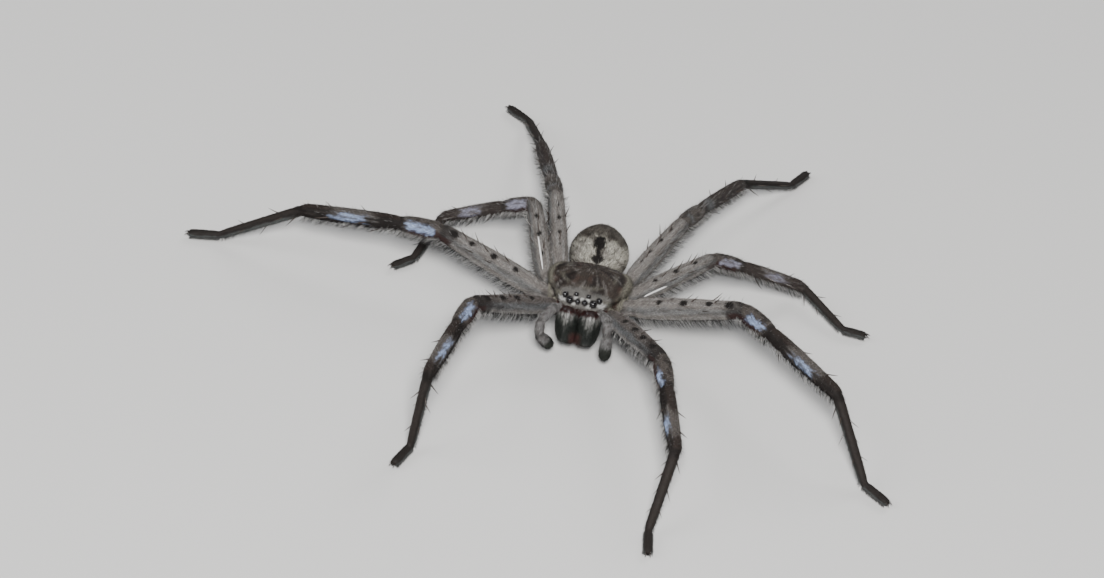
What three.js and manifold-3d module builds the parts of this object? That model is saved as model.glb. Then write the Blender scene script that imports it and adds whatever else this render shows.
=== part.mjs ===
// Huntsman spider, a still life-size display model, in millimetres.
// +Z is up, the head points along -Y, and the eight feet rest on the floor plane z = 0.
// The origin lies on the floor, under the middle of the leg span.

import * as THREE from 'three';
import { mergeVertices } from 'three/addons/utils/BufferGeometryUtils.js';
import Module from 'manifold-3d';

const wasm = await Module();
wasm.setup();

// Spaces between touching pieces
const GAP = 0.3;

// Stance: the coxa plane is the level where the legs leave the body
const BODY_HEIGHT = 6.8;
const BODY_PITCH = -5.9;          // nose up, degrees about +X
const ORIGIN_SHIFT = { x: 6.3, y: 1.0 };   // brings the middle of the leg span over the origin
const ANKLE_HEIGHT = 1.25;        // axis of the last leg joint above the floor
const TOE_HEIGHT = 0.85;
const FOOT_HEIGHT = 0.9;          // height of the foot above its axis, as a share of its radius
const SOLE_REACH = 1.6;           // the sole is cut flat from this share of the axis height

// Carapace, in body axes: x sideways, y back from its middle, z above the coxa plane
const CARAPACE_PROFILE = [        // y, half width, height of the crown
  [-8.0, 3.1, 2.3], [-7.4, 3.8, 3.6], [-6.0, 4.4, 4.3], [-3.6, 5.9, 4.8], [-0.8, 7.3, 5.0],
  [2.2, 7.4, 4.3], [4.9, 6.0, 2.9], [6.4, 3.8, 1.75], [7.2, 1.9, 1.0],
];
const CARAPACE_STEPS = 12;
const CARAPACE_SIDES = 22;
const CARAPACE_RIM = 0.5;         // depth of the turned-in rim below the widest line
const STERNUM = { front: -5.2, back: 5.6, wide: 4.0, top: 1.0, depth: 3.0, sides: 16 };
const STERNUM_STATIONS = [-1, -0.8, -0.4, 0, 0.4, 0.8, 1];
const STERNUM_ROUNDING = 1.02;    // above 1, so that the end stations keep some width
const STERNUM_LEAST = 0.3;

// Abdomen, in axes of its own that start at the waist
const ABDOMEN_AT = [0, 6.9, -0.2];
const ABDOMEN_PITCH = 3;
const ABDOMEN_TURN = 5;           // the tail is held a little to the right
const ABDOMEN_PROFILE = [         // y, half width, half height
  [0.2, 1.9, 1.6], [1.1, 3.7, 2.9], [3.0, 5.0, 3.8], [5.5, 5.3, 4.1], [8.0, 4.9, 3.8],
  [10.4, 3.7, 3.0], [11.9, 2.3, 2.0], [12.7, 1.2, 1.2],
];
const ABDOMEN_STEPS = 12;
const ABDOMEN_SIDES = 20;
const BELLY_SHARE = 0.95;         // depth below the middle line, as a share of the height above it
const WAIST = { wide: 0.9, high: 0.8, front: -1.0, back: 2.0, z: -0.2, sides: 10 };
const SPINNERETS = [              // x, z, radius, length, spread sideways
  [0.75, -0.75, 0.5, 1.6, 0.25], [0.55, 0.3, 0.42, 1.5, 0.2],
];
const SPINNERET = { rootSpread: 0.6, sunk: 0.5, droop: 0.2, tip: 0.55, sides: 7 };
const SPINNERET_BASE = { radius: 1.15, sunk: 0.2, z: -0.15, around: 10, down: 6 };

// Jaws
const JAW = { x: 2.0, topY: -7.2, topZ: 1.3, tipY: -9.4, tipZ: -4.9, wide: 1.85, deep: 1.9 };
const JAW_PROFILE = [[-0.04, 0.5], [0.03, 0.8], [0.14, 0.96], [0.36, 1.03], [0.66, 0.98],
  [0.86, 0.82], [0.97, 0.55]];
const JAW_SIDES = 14;
const FANG = { rootX: 2.4, tipX: 0.8, y: -8.9, back: 0.9, z: -4.2, drop: 1.8, root: 0.6, tip: 0.12,
  taper: 1.4, steps: 6, sides: 8 };

// Eyes: x, y, z of the middle and radius, each pair mirrored
const EYES = {
  anterior_median: [0.63, -7.62, 2.75, 0.45],
  anterior_lateral: [2.08, -7.35, 2.6, 0.6],
  posterior_median: [1.1, -6.9, 3.75, 0.38],
  posterior_lateral: [3.1, -6.7, 3.15, 0.5],
};
const EYE_SEGMENTS = { around: 8, down: 6 };
const SOCKET_GAP = 0.2;

// Palps, in body axes: hip, knee, shin start, shin end, tip. The two are held differently.
const PALPS = {
  right: [[-3.0, -4.9, -1.6], [-4.5, -8.5, 1.2], [-6.1, -11.7, 0.1], [-6.1, -12.4, -2.6],
    [-3.9, -11.2, -5.2]],
  left: [[3.0, -4.9, -1.6], [4.3, -7.9, 0.9], [5.3, -9.3, 0.9], [5.7, -10.2, -1.4],
    [5.8, -11.4, -5.6]],
};
const PALP_RADII = [0.95, 0.9, 0.92, 1.15];
const PALP_SIDES = 8;

// Legs. Lengths run femur, patella, tibia, metatarsus, tarsus, and radii the same way.
const LEGS = {
  1: { root: [6.4, -6.7], lengths: [17.0, 7.6, 14.8, 14.5, 5.3],
    radii: [1.8, 1.6, 1.38, 0.98, 0.9] },
  2: { root: [8.9, -2.1], lengths: [19.7, 7.5, 18.4, 16.2, 5.7],
    radii: [2.0, 1.75, 1.5, 1.02, 0.92] },
  3: { root: [8.3, 2.0], lengths: [15.5, 5.8, 13.0, 11.6, 4.4],
    radii: [1.7, 1.5, 1.3, 0.92, 0.85] },
  4: { root: [6.4, 5.5], lengths: [15.7, 6.0, 14.4, 14.8, 5.5],
    radii: [1.75, 1.5, 1.3, 0.92, 0.86] },
};
const COXA_START = { 1: [3.0, -4.2], 2: [3.7, -1.6], 3: [3.7, 1.4], 4: [3.0, 4.3] };
const COXA_START_Z = -1.3;
const COXA_RADIUS = 1.55;
const PATELLA_RISE = 5;           // how much more the patella rises than the tibia

// Pose of each leg in degrees: heading and rise of the femur, heading and rise of the tibia,
// heading of the metatarsus, heading of the tarsus. 0 points along +X and 90 along +Y.
const POSE = {
  left_1: [-51, 14, -72, -5, -98, -79],
  left_2: [-1, 14, -40, -2, -52, -34],
  left_3: [39, 14, 23, -25, -40, 0],
  left_4: [64, 18, 68, -11, 53, 66],
  right_1: [-135, 22, -97, 2, -112, -110],
  right_2: [166, 13, 176, -8, -169, -172],
  right_3: [111, 17, 174, -29, -103, -138],
  right_4: [106, 18, 109, -14, 110, 144],
};

// Swell of each limb segment between its joints: share of its length, share of its radius.
// The joints themselves are narrower, by JOINT_SHARE of the slimmer neighbour.
const SWELL = {
  coxa: [[-0.05, 0.8], [0.3, 1.0], [0.8, 0.98]],
  femur: [[0.05, 0.86], [0.16, 1.0], [0.38, 1.04], [0.64, 0.98], [0.9, 0.84]],
  patella: [[0.12, 0.98], [0.45, 1.06], [0.86, 0.94]],
  tibia: [[0.06, 0.92], [0.24, 1.03], [0.58, 1.03], [0.93, 0.9]],
  metatarsus: [[0.07, 1.0], [0.22, 1.06], [0.58, 0.98], [0.93, 0.9]],
  tarsus: [[0.14, 0.9], [0.5, 1.0], [0.84, 1.04], [0.97, 0.84], [1.03, 0.45]],
};
const JOINT_SHARE = 0.84;

// Spines of each segment: share of its length, place round it, and length. The place is in degrees,
// 0 on the front side of the leg, 90 on top, 180 behind and -90 below.
const SPINES = {
  femur: [[0.3, 92, 2.3], [0.52, 88, 2.5], [0.74, 92, 2.2], [0.42, 35, 2.3], [0.66, 30, 2.2],
    [0.44, 148, 2.2], [0.68, 150, 2.2]],
  tibia: [[0.2, -48, 2.9], [0.2, -132, 2.9], [0.48, -50, 2.9], [0.48, -130, 2.9], [0.36, 12, 2.5],
    [0.72, 14, 2.4], [0.36, 168, 2.5], [0.72, 166, 2.4]],
  metatarsus: [[0.1, -40, 2.6], [0.1, -140, 2.6], [0.42, -30, 2.3], [0.42, -150, 2.3],
    [0.26, 28, 2.2], [0.26, 152, 2.2]],
};
const SPINE = { root: 0.3, tip: 0.07, sunk: 0.55, lean: 38, floor: 0.35 };
const SPINE_SIDES = 3;
const SPINE_CLEARANCE = 2.4;       // from a spine's tip to the middle line of another leg
const SPINE_VARIATION = { share: 0.03, place: 9, length: 0.25, lean: 5 };
const SEEDS = { step: 97, left: 11, right: 29 };
const CLAW = { apart: 0.32, length: 0.95, root: 0.25, tip: 0.06, drop: 0.45, back: 0.35 };
const LEG_SIDES = 10;
const FOOT_SIDES = 8;

const COLOURS = {
  carapace: 0x5b4d45, abdomen: 0xa9a293, jaw: 0x6f716c, fang: 0x2c0f0b, eye: 0x050505,
  palp: 0x77706a, femur: 0x9a9089, tibia: 0x594b45, foot: 0x3f302b, spinneret: 0x6a635b,
};

const radians = THREE.MathUtils.degToRad;
const UP = new THREE.Vector3(0, 0, 1);

// Evenly spread numbers from -1 to 1, the same on every run
function seeded(seed) {
  let state = seed;
  return () => {
    state = (state * 16807) % 2147483647;
    return (state / 2147483647) * 2 - 1;
  };
}

function material(name, roughness = 0.75) {
  return new THREE.MeshStandardMaterial({ color: COLOURS[name], roughness, metalness: 0 });
}

function heading(degrees, rise = 0) {
  const h = radians(degrees);
  const r = radians(rise);
  return new THREE.Vector3(Math.cos(h) * Math.cos(r), Math.sin(h) * Math.cos(r), Math.sin(r));
}

// Skins a row of rings and closes both ends. A ring holds its centre, the unit directions to its
// side and its top, its half width, and its half heights above and below the centre. A mitred ring
// is slid along its limb onto a plane, and no point goes below the ring's floor, if it has one.
function loft(rings, sides) {
  const position = [];
  for (const ring of rings) {
    for (let i = 0; i < sides; i += 1) {
      const turn = (i / sides) * 2 * Math.PI;
      const rise = Math.sin(turn) * (Math.sin(turn) > 0 ? ring.high : ring.low);
      const point = ring.at.clone().addScaledVector(ring.side, Math.cos(turn) * ring.wide);
      point.addScaledVector(ring.up, rise);
      if (ring.mitre) slideOnto(point, ring.along, ring.mitre);
      if (ring.floor !== undefined) point.z = Math.max(point.z, ring.floor);
      position.push(...point.toArray());
    }
  }
  const first = rings[0].at;
  const last = rings[rings.length - 1].at;
  position.push(...first.toArray(), ...last.toArray());
  const start = rings.length * sides;
  const index = [];
  for (let i = 0; i < sides; i += 1) {
    const next = (i + 1) % sides;
    for (let k = 0; k + 1 < rings.length; k += 1) {
      const a = k * sides + i;
      const b = k * sides + next;
      index.push(a, b, b + sides, a, b + sides, a + sides);
    }
    const end = (rings.length - 1) * sides;
    index.push(start, next, i, start + 1, end + i, end + next);
  }
  const geometry = new THREE.BufferGeometry();
  geometry.setAttribute('position', new THREE.Float32BufferAttribute(position, 3));
  geometry.setIndex(facingOut(position, index));
  return geometry;
}

function slideOnto(point, along, plane) {
  const away = new THREE.Vector3().subVectors(plane.at, point).dot(plane.normal);
  point.addScaledVector(along, away / along.dot(plane.normal));
}

// Turns every triangle over where the loft was wound inwards
function facingOut(position, index) {
  const corner = (i) => new THREE.Vector3().fromArray(position, 3 * i);
  let volume = 0;
  for (let i = 0; i < index.length; i += 3) {
    volume += corner(index[i]).dot(corner(index[i + 1]).cross(corner(index[i + 2])));
  }
  if (volume < 0) index.reverse();
  return index;
}

// A three.js geometry as a solid that can be joined and cut
function solid(geometry, matrix = new THREE.Matrix4()) {
  const bare = geometry.clone().applyMatrix4(matrix);
  bare.deleteAttribute('normal');
  bare.deleteAttribute('uv');
  const merged = mergeVertices(bare, 1e-4);
  return new wasm.Manifold(new wasm.Mesh({
    numProp: 3,
    vertProperties: new Float32Array(merged.attributes.position.array),
    triVerts: new Uint32Array(merged.index.array),
  }));
}

const join = (solids) => solids.reduce((whole, piece) => whole.add(piece));

// The largest closed surface of a solid, as a named mesh
function piece(name, body, look) {
  const largest = body.decompose().reduce((a, b) => (a.volume() > b.volume() ? a : b));
  const shape = largest.getMesh();
  const geometry = new THREE.BufferGeometry();
  const corners = new THREE.Float32BufferAttribute(shape.vertProperties, shape.numProp);
  geometry.setAttribute('position', corners);
  geometry.setIndex(Array.from(shape.triVerts));
  geometry.computeVertexNormals();
  const mesh = new THREE.Mesh(geometry, look);
  mesh.name = name;
  return mesh;
}

// Samples a profile of [y, half width, height] as a smooth curve
function smoothProfile(profile, steps) {
  const curve = new THREE.CatmullRomCurve3(profile.map((row) => new THREE.Vector3(...row)));
  return curve.getPoints(steps).map((point) => ({ y: point.x, wide: point.y, high: point.z }));
}

// Body

const X = new THREE.Vector3(1, 0, 0);

// Carapace and sternum, grown evenly on all sides where a neighbour is cut clear of it
function cephalothorax(grow = 0) {
  const rows = smoothProfile(CARAPACE_PROFILE, CARAPACE_STEPS);
  const shell = rows.map(({ y, wide, high }, i) => {
    const shift = i === 0 ? -grow : i === rows.length - 1 ? grow : 0;
    return { at: new THREE.Vector3(0, y + shift, 0), side: X, up: UP, wide: wide + grow,
      high: high + grow, low: CARAPACE_RIM + grow };
  });
  const { front, back, wide, top, depth } = STERNUM;
  const middle = (front + back) / 2;
  const half = (back - front) / 2 + grow;
  const plate = STERNUM_STATIONS.map((share) => {
    const round = Math.max(Math.sqrt(STERNUM_ROUNDING - share * share), STERNUM_LEAST);
    return { at: new THREE.Vector3(0, middle + share * half, 0), side: X, up: UP,
      wide: (wide + grow) * round, high: top, low: (depth + grow) * round };
  });
  return solid(loft(shell, CARAPACE_SIDES)).add(solid(loft(plate, STERNUM.sides)));
}

function abdomen(grow = 0) {
  const rings = smoothProfile(ABDOMEN_PROFILE, ABDOMEN_STEPS).map(({ y, wide, high }, i, all) => {
    const shift = i === 0 ? -grow : i === all.length - 1 ? grow : 0;
    return { at: new THREE.Vector3(0, y + shift, 0), side: X, up: UP,
      wide: wide + grow, high: high + grow, low: (high + grow) * BELLY_SHARE };
  });
  return solid(loft(rings, ABDOMEN_SIDES));
}

function ball(at, radius) {
  const shape = new THREE.SphereGeometry(radius, EYE_SEGMENTS.around, EYE_SEGMENTS.down);
  return solid(shape, new THREE.Matrix4().makeTranslation(at.x, at.y, at.z));
}

function waist() {
  const { wide, high, front, back, z } = WAIST;
  const rings = [front, back].map((y) => ({ at: new THREE.Vector3(0, y, z), side: X, up: UP,
    wide, high, low: high }));
  return solid(loft(rings, WAIST.sides));
}

// A cone between two points, with few sides
function taper(from, to, root, tip, sides) {
  const along = new THREE.Vector3().subVectors(to, from);
  const shape = new THREE.CylinderGeometry(tip, root, along.length(), sides, 1);
  const turn = new THREE.Quaternion().setFromUnitVectors(new THREE.Vector3(0, 1, 0),
    along.clone().normalize());
  const middle = new THREE.Vector3().addVectors(from, to).multiplyScalar(0.5);
  return solid(shape, new THREE.Matrix4().compose(middle, turn, new THREE.Vector3(1, 1, 1)));
}

function spinnerets() {
  const tail = ABDOMEN_PROFILE[ABDOMEN_PROFILE.length - 1][0];
  const cones = SPINNERETS.flatMap(([x, z, radius, length, spread]) => [-1, 1].map((sign) => {
    const root = new THREE.Vector3(sign * x * SPINNERET.rootSpread, tail - SPINNERET.sunk, z);
    const tip = new THREE.Vector3(sign * (x + spread), tail + length, z - SPINNERET.droop);
    return taper(root, tip, radius, radius * SPINNERET.tip, SPINNERET.sides);
  }));
  const { radius, sunk, z, around, down } = SPINNERET_BASE;
  const base = solid(new THREE.SphereGeometry(radius, around, down),
    new THREE.Matrix4().makeTranslation(0, tail - sunk, z));
  return join([base, ...cones]).subtract(abdomen(GAP));
}

function jaw(sign, grow = 0) {
  const { x, topY, topZ, tipY, tipZ, wide, deep } = JAW;
  const top = new THREE.Vector3(sign * x, topY, topZ);
  const tip = new THREE.Vector3(sign * x, tipY, tipZ);
  const up = new THREE.Vector3().subVectors(tip, top).normalize().cross(X).normalize();
  const rings = JAW_PROFILE.map(([share, swell]) => ({
    at: new THREE.Vector3().lerpVectors(top, tip, share), side: X, up,
    wide: wide * swell + grow, high: deep * swell + grow, low: deep * swell + grow }));
  return solid(loft(rings, JAW_SIDES));
}

// The fang folds inwards along a quarter of an ellipse
function fang(sign) {
  const { rootX, tipX, y, back, z, drop, root, tip, steps } = FANG;
  const rings = [];
  for (let i = 0; i <= steps; i += 1) {
    const share = i / steps;
    const turn = share * Math.PI / 2;
    const at = new THREE.Vector3(sign * (tipX + (rootX - tipX) * Math.cos(turn)), y + back * share,
      z - drop * Math.sin(turn));
    const along = new THREE.Vector3(-sign * (rootX - tipX) * Math.sin(turn), back * 2 / Math.PI,
      -drop * Math.cos(turn)).normalize();
    const side = new THREE.Vector3(0, 1, 0).cross(along).normalize();
    const radius = root + (tip - root) * share ** FANG.taper;
    rings.push({ at, side, up: along.clone().cross(side), wide: radius, high: radius,
      low: radius });
  }
  return solid(loft(rings, FANG.sides)).subtract(jaw(sign, GAP));
}

// Limbs

// A limb of several segments as one loft. keys names the swell of each segment. Every joint has a
// ring on the plane that halves its bend. Where a limb stops at a joint that another node shares,
// first and last give how far its end face lies from that joint's plane.
function limb(joints, radii, keys, sides, { planes = [], grow = 0, soleFrom = null } = {}) {
  const rings = [];
  keys.forEach((key, i) => {
    const from = joints[i];
    const to = joints[i + 1];
    const along = new THREE.Vector3().subVectors(to, from).normalize();
    const side = along.clone().cross(UP).normalize();
    const up = side.clone().cross(along);
    const ring = (at, radius, mitre) => {
      const half = radius + grow;
      const sole = soleFrom !== null && i >= soleFrom;
      return { at, along, side, up, wide: half, high: half * (sole ? FOOT_HEIGHT : 1),
        low: sole ? at.z * SOLE_REACH : half, mitre, floor: sole ? 0 : undefined };
    };
    if (planes[i]) rings.push(ring(from, radii[i] * JOINT_SHARE, planes[i]));
    for (const [share, swell] of SWELL[key]) {
      rings.push(ring(new THREE.Vector3().lerpVectors(from, to, share), radii[i] * swell));
    }
    if (i === keys.length - 1 && planes[i + 1]) {
      rings.push(ring(to, radii[i] * JOINT_SHARE, planes[i + 1]));
    }
  });
  return solid(loft(rings, sides));
}

const bodyAxes = new THREE.Group();
bodyAxes.position.set(0, 0, BODY_HEIGHT);
bodyAxes.rotation.x = radians(BODY_PITCH);
bodyAxes.updateMatrix();
const inWorld = (x, y, z) => new THREE.Vector3(x, y, z).applyMatrix4(bodyAxes.matrix);

const signOf = (name) => (name.startsWith('left') ? 1 : -1);

// Joints of a leg from its root on the body to the tip of its foot, resting on the floor
function legJoints(name) {
  const sign = signOf(name);
  const leg = LEGS[name.at(-1)];
  const [femurHeading, femurRise, shinHeading, shinRise, metaHeading, toeHeading] = POSE[name];
  const [femur, patella, tibia, metatarsus, tarsus] = leg.lengths;
  const joints = [inWorld(sign * leg.root[0], leg.root[1], 0)];
  const step = (direction, length) => {
    joints.push(joints[joints.length - 1].clone().addScaledVector(direction, length));
  };
  step(heading(femurHeading, femurRise), femur);
  step(heading(shinHeading, shinRise + PATELLA_RISE), patella);
  step(heading(shinHeading, shinRise), tibia);
  const drop = joints[3].z - ANKLE_HEIGHT;
  step(heading(metaHeading, -THREE.MathUtils.radToDeg(Math.asin(drop / metatarsus))), metatarsus);
  const toeDrop = ANKLE_HEIGHT - TOE_HEIGHT;
  step(heading(toeHeading, -THREE.MathUtils.radToDeg(Math.asin(toeDrop / tarsus))), tarsus);
  return joints;
}

// The plane that halves the bend at a joint, moved along the limb by a distance
function bendPlane(before, joint, after, distance = 0) {
  const incoming = new THREE.Vector3().subVectors(joint, before).normalize();
  const outgoing = new THREE.Vector3().subVectors(after, joint).normalize();
  const normal = incoming.add(outgoing).normalize();
  return { at: joint.clone().addScaledVector(normal, distance), normal };
}

function coxaStart(name) {
  const [x, y] = COXA_START[name.at(-1)];
  return inWorld(signOf(name) * x, y, COXA_START_Z);
}

function coxa(name, grow = 0) {
  const joints = [coxaStart(name), legJoints(name)[0]];
  return limb(joints, [COXA_RADIUS], ['coxa'], FOOT_SIDES, { grow });
}

// Whether a point lies clear of all the other legs
function clearOfOtherLegs(point, name) {
  return Object.keys(POSE).every((other) => {
    if (other === name) return true;
    const joints = [coxaStart(other), ...legJoints(other)];
    return joints.slice(1).every((joint, i) => {
      const nearest = new THREE.Line3(joints[i], joint).closestPointToPoint(point, true,
        new THREE.Vector3());
      return nearest.distanceTo(point) > SPINE_CLEARANCE;
    });
  });
}

// The spines of one leg segment, leaning towards the foot, clear of the floor and other legs
function spines(from, to, radius, key, name, random) {
  const sign = signOf(name);
  const along = new THREE.Vector3().subVectors(to, from).normalize();
  const side = along.clone().cross(UP).normalize().multiplyScalar(sign);
  const up = new THREE.Vector3().crossVectors(along, side).multiplyScalar(-sign);
  const vary = (what) => random() * SPINE_VARIATION[what];
  return SPINES[key].flatMap(([share, place, length]) => {
    const at = new THREE.Vector3().lerpVectors(from, to, share + vary('share'));
    const turn = radians(place + vary('place'));
    const out = side.clone().multiplyScalar(Math.cos(turn)).addScaledVector(up, Math.sin(turn));
    const lean = radians(SPINE.lean + vary('lean'));
    const way = along.clone().multiplyScalar(Math.cos(lean)).addScaledVector(out, Math.sin(lean));
    const root = at.addScaledVector(out, radius * SPINE.sunk);
    const long = length + vary('length') + radius * (1 - SPINE.sunk) / Math.sin(lean);
    const tip = root.clone().addScaledVector(way, long);
    if (tip.z < SPINE.floor) tip.z = SPINE.floor;
    return clearOfOtherLegs(tip, name) ? [taper(root, tip, SPINE.root, SPINE.tip, SPINE_SIDES)]
      : [];
  });
}

// Two claws at the tip of the foot
function claws(joints) {
  const tip = joints[joints.length - 1];
  const along = new THREE.Vector3().subVectors(tip, joints[joints.length - 2]).setZ(0).normalize();
  const side = along.clone().cross(UP);
  return [-1, 1].map((sign) => {
    const root = tip.clone().addScaledVector(along, -CLAW.back)
      .addScaledVector(side, sign * CLAW.apart);
    const end = root.clone().addScaledVector(along, CLAW.length)
      .addScaledVector(UP, -CLAW.drop * CLAW.length);
    end.z = Math.max(end.z, CLAW.tip * 2);
    return taper(root, end, CLAW.root, CLAW.tip, SPINE_SIDES);
  });
}

// Three nodes per leg: hip and femur, patella and tibia, metatarsus and foot
function leg(name, bodySolid) {
  const joints = [coxaStart(name), ...legJoints(name)];
  const { radii } = LEGS[name.at(-1)];
  const number = Number(name.at(-1));
  const plane = (i, distance = 0) => bendPlane(joints[i - 1], joints[i], joints[i + 1], distance);
  const random = seeded(number * SEEDS.step + (signOf(name) > 0 ? SEEDS.left : SEEDS.right));
  const bristle = (i, key) => spines(joints[i], joints[i + 1], radii[i - 1], key, name, random);

  let upper = limb(joints.slice(0, 3), [COXA_RADIUS, radii[0]], ['coxa', 'femur'], LEG_SIDES,
    { planes: [null, plane(1), plane(2, -GAP / 2)] });
  upper = join([upper, ...bristle(1, 'femur')]).subtract(bodySolid);
  if (number > 1) {
    upper = upper.subtract(coxa(name.slice(0, -1) + (number - 1), GAP));
  }
  const shin = limb(joints.slice(2, 5), radii.slice(1, 3), ['patella', 'tibia'], LEG_SIDES,
    { planes: [plane(2, GAP / 2), plane(3), plane(4, -GAP / 2)] });
  const middle = join([shin, ...bristle(3, 'tibia')]);
  const sole = limb(joints.slice(4), radii.slice(3), ['metatarsus', 'tarsus'], FOOT_SIDES,
    { planes: [plane(4, GAP / 2), plane(5), null], soleFrom: 1 });
  const foot = join([sole, ...bristle(4, 'metatarsus'), ...claws(joints)]);

  return [
    piece(`leg_${name}_femur`, upper, material('femur')),
    piece(`leg_${name}_tibia`, middle, material('tibia')),
    piece(`leg_${name}_foot`, foot, material('foot')),
  ];
}

function palp(sideName, bodySolid, legSolid) {
  const joints = PALPS[sideName].map((point) => new THREE.Vector3(...point));
  const planes = joints.map((joint, i) => (i > 0 && i < joints.length - 1
    ? bendPlane(joints[i - 1], joint, joints[i + 1]) : null));
  return limb(joints, PALP_RADII, ['coxa', 'patella', 'patella', 'tarsus'], PALP_SIDES, { planes })
    .subtract(bodySolid).subtract(legSolid).subtract(jaw(Math.sign(joints[0].x), GAP));
}

// Assembly

const spider = new THREE.Group();
spider.position.set(ORIGIN_SHIFT.x, ORIGIN_SHIFT.y, 0);
spider.add(bodyAxes);

const EYE_PLACES = Object.entries(EYES).flatMap(([name, [x, y, z, radius]]) => [
  { name: `eye_${name}_left`, at: new THREE.Vector3(x, y, z), radius },
  { name: `eye_${name}_right`, at: new THREE.Vector3(-x, y, z), radius },
]);

const sockets = join(EYE_PLACES.map(({ at, radius }) => ball(at, radius + SOCKET_GAP)));
bodyAxes.add(piece('cephalothorax', cephalothorax().subtract(sockets), material('carapace')));

for (const { name, at, radius } of EYE_PLACES) {
  const shape = new THREE.SphereGeometry(radius, EYE_SEGMENTS.around, EYE_SEGMENTS.down);
  shape.rotateX(Math.PI / 2);
  const eye = new THREE.Mesh(shape, material('eye', 0.1));
  eye.name = name;
  eye.position.copy(at);
  bodyAxes.add(eye);
}

const abdomenAxes = new THREE.Group();
abdomenAxes.position.set(...ABDOMEN_AT);
abdomenAxes.rotation.x = radians(ABDOMEN_PITCH);
abdomenAxes.rotation.z = radians(ABDOMEN_TURN);
abdomenAxes.updateMatrix();
bodyAxes.add(abdomenAxes);
const toAbdomen = abdomenAxes.matrix.clone().invert();
const thoraxForAbdomen = cephalothorax(GAP).transform(toAbdomen.elements);
abdomenAxes.add(piece('abdomen', abdomen().add(waist()).subtract(thoraxForAbdomen),
  material('abdomen')));
abdomenAxes.add(piece('spinnerets', spinnerets(), material('spinneret')));

for (const [sideName, sign] of [['left', 1], ['right', -1]]) {
  const base = jaw(sign).subtract(cephalothorax(GAP));
  bodyAxes.add(piece(`chelicera_${sideName}`, base, material('jaw', 0.5)));
  bodyAxes.add(piece(`fang_${sideName}`, fang(sign), material('fang', 0.3)));
  const firstCoxa = coxa(`${sideName}_1`, GAP).transform(bodyAxes.matrix.clone().invert().elements);
  bodyAxes.add(piece(`pedipalp_${sideName}`, palp(sideName, cephalothorax(GAP), firstCoxa),
    material('palp')));
}

const thoraxForLegs = cephalothorax(GAP).transform(bodyAxes.matrix.elements);
for (const name of Object.keys(POSE)) {
  for (const mesh of leg(name, thoraxForLegs)) spider.add(mesh);
}

export default spider;
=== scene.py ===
# %% [markdown]
# # A huntsman spider, standing still
# This lesson dresses a set of plain solids as a large grey huntsman spider on a pale studio floor.
# The solids hold the sizes and the pose. Here they get one skin, a coat of short hair, spines,
# bristles, eyes, jaws and claws. Every length is in metres, and the head points along -Y.

# %% Load the solids
import math

import bpy
import numpy as np
from mathutils import Matrix, Vector


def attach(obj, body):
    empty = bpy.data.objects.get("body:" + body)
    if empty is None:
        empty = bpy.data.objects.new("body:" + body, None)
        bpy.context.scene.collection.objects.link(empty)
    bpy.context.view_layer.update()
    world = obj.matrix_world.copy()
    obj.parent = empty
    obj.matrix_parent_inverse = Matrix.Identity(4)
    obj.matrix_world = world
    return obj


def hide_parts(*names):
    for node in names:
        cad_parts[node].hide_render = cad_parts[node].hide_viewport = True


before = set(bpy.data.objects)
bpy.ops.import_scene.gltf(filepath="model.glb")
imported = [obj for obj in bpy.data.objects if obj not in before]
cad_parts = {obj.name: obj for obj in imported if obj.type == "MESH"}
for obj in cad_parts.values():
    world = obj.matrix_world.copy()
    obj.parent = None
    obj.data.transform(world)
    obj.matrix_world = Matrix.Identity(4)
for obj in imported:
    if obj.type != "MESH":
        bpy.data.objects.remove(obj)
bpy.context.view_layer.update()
print("solids:", len(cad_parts))

# %% [markdown]
# ## The skeleton
# A spider's leg has seven segments, and two short ones stay near the body. The pose is one row of
# angles per leg, and the foot always lies flat on the floor, so the middle joint angles follow
# from the height that is left. Lengths are written in millimetres and turned into metres once.

# %% Sizes and pose
MM = 0.001
ORIGIN_SHIFT = (6.3, 1.0, 0.0)
BODY_HEIGHT = 6.8
BODY_PITCH = -5.9
ANKLE_HEIGHT = 1.25
TOE_HEIGHT = 0.85
PATELLA_RISE = 5
COAT_DEPTH = 0.09
HIP_Z = -1.3

LEGS = {
    1: {"root": (6.4, -6.7), "hip": (3.0, -4.2), "lengths": (17.0, 7.6, 14.8, 14.5, 5.3),
        "radii": (1.55, 1.8, 1.6, 1.38, 0.98, 0.9)},
    2: {"root": (8.9, -2.1), "hip": (3.7, -1.6), "lengths": (19.7, 7.5, 18.4, 16.2, 5.7),
        "radii": (1.55, 2.0, 1.75, 1.5, 1.02, 0.92)},
    3: {"root": (8.3, 2.0), "hip": (3.7, 1.4), "lengths": (15.5, 5.8, 13.0, 11.6, 4.4),
        "radii": (1.55, 1.7, 1.5, 1.3, 0.92, 0.85)},
    4: {"root": (6.4, 5.5), "hip": (3.0, 4.3), "lengths": (15.7, 6.0, 14.4, 14.8, 5.5),
        "radii": (1.55, 1.75, 1.5, 1.3, 0.92, 0.86)},
}
SEGMENTS = ("coxa", "femur", "patella", "tibia", "metatarsus", "tarsus")
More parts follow.
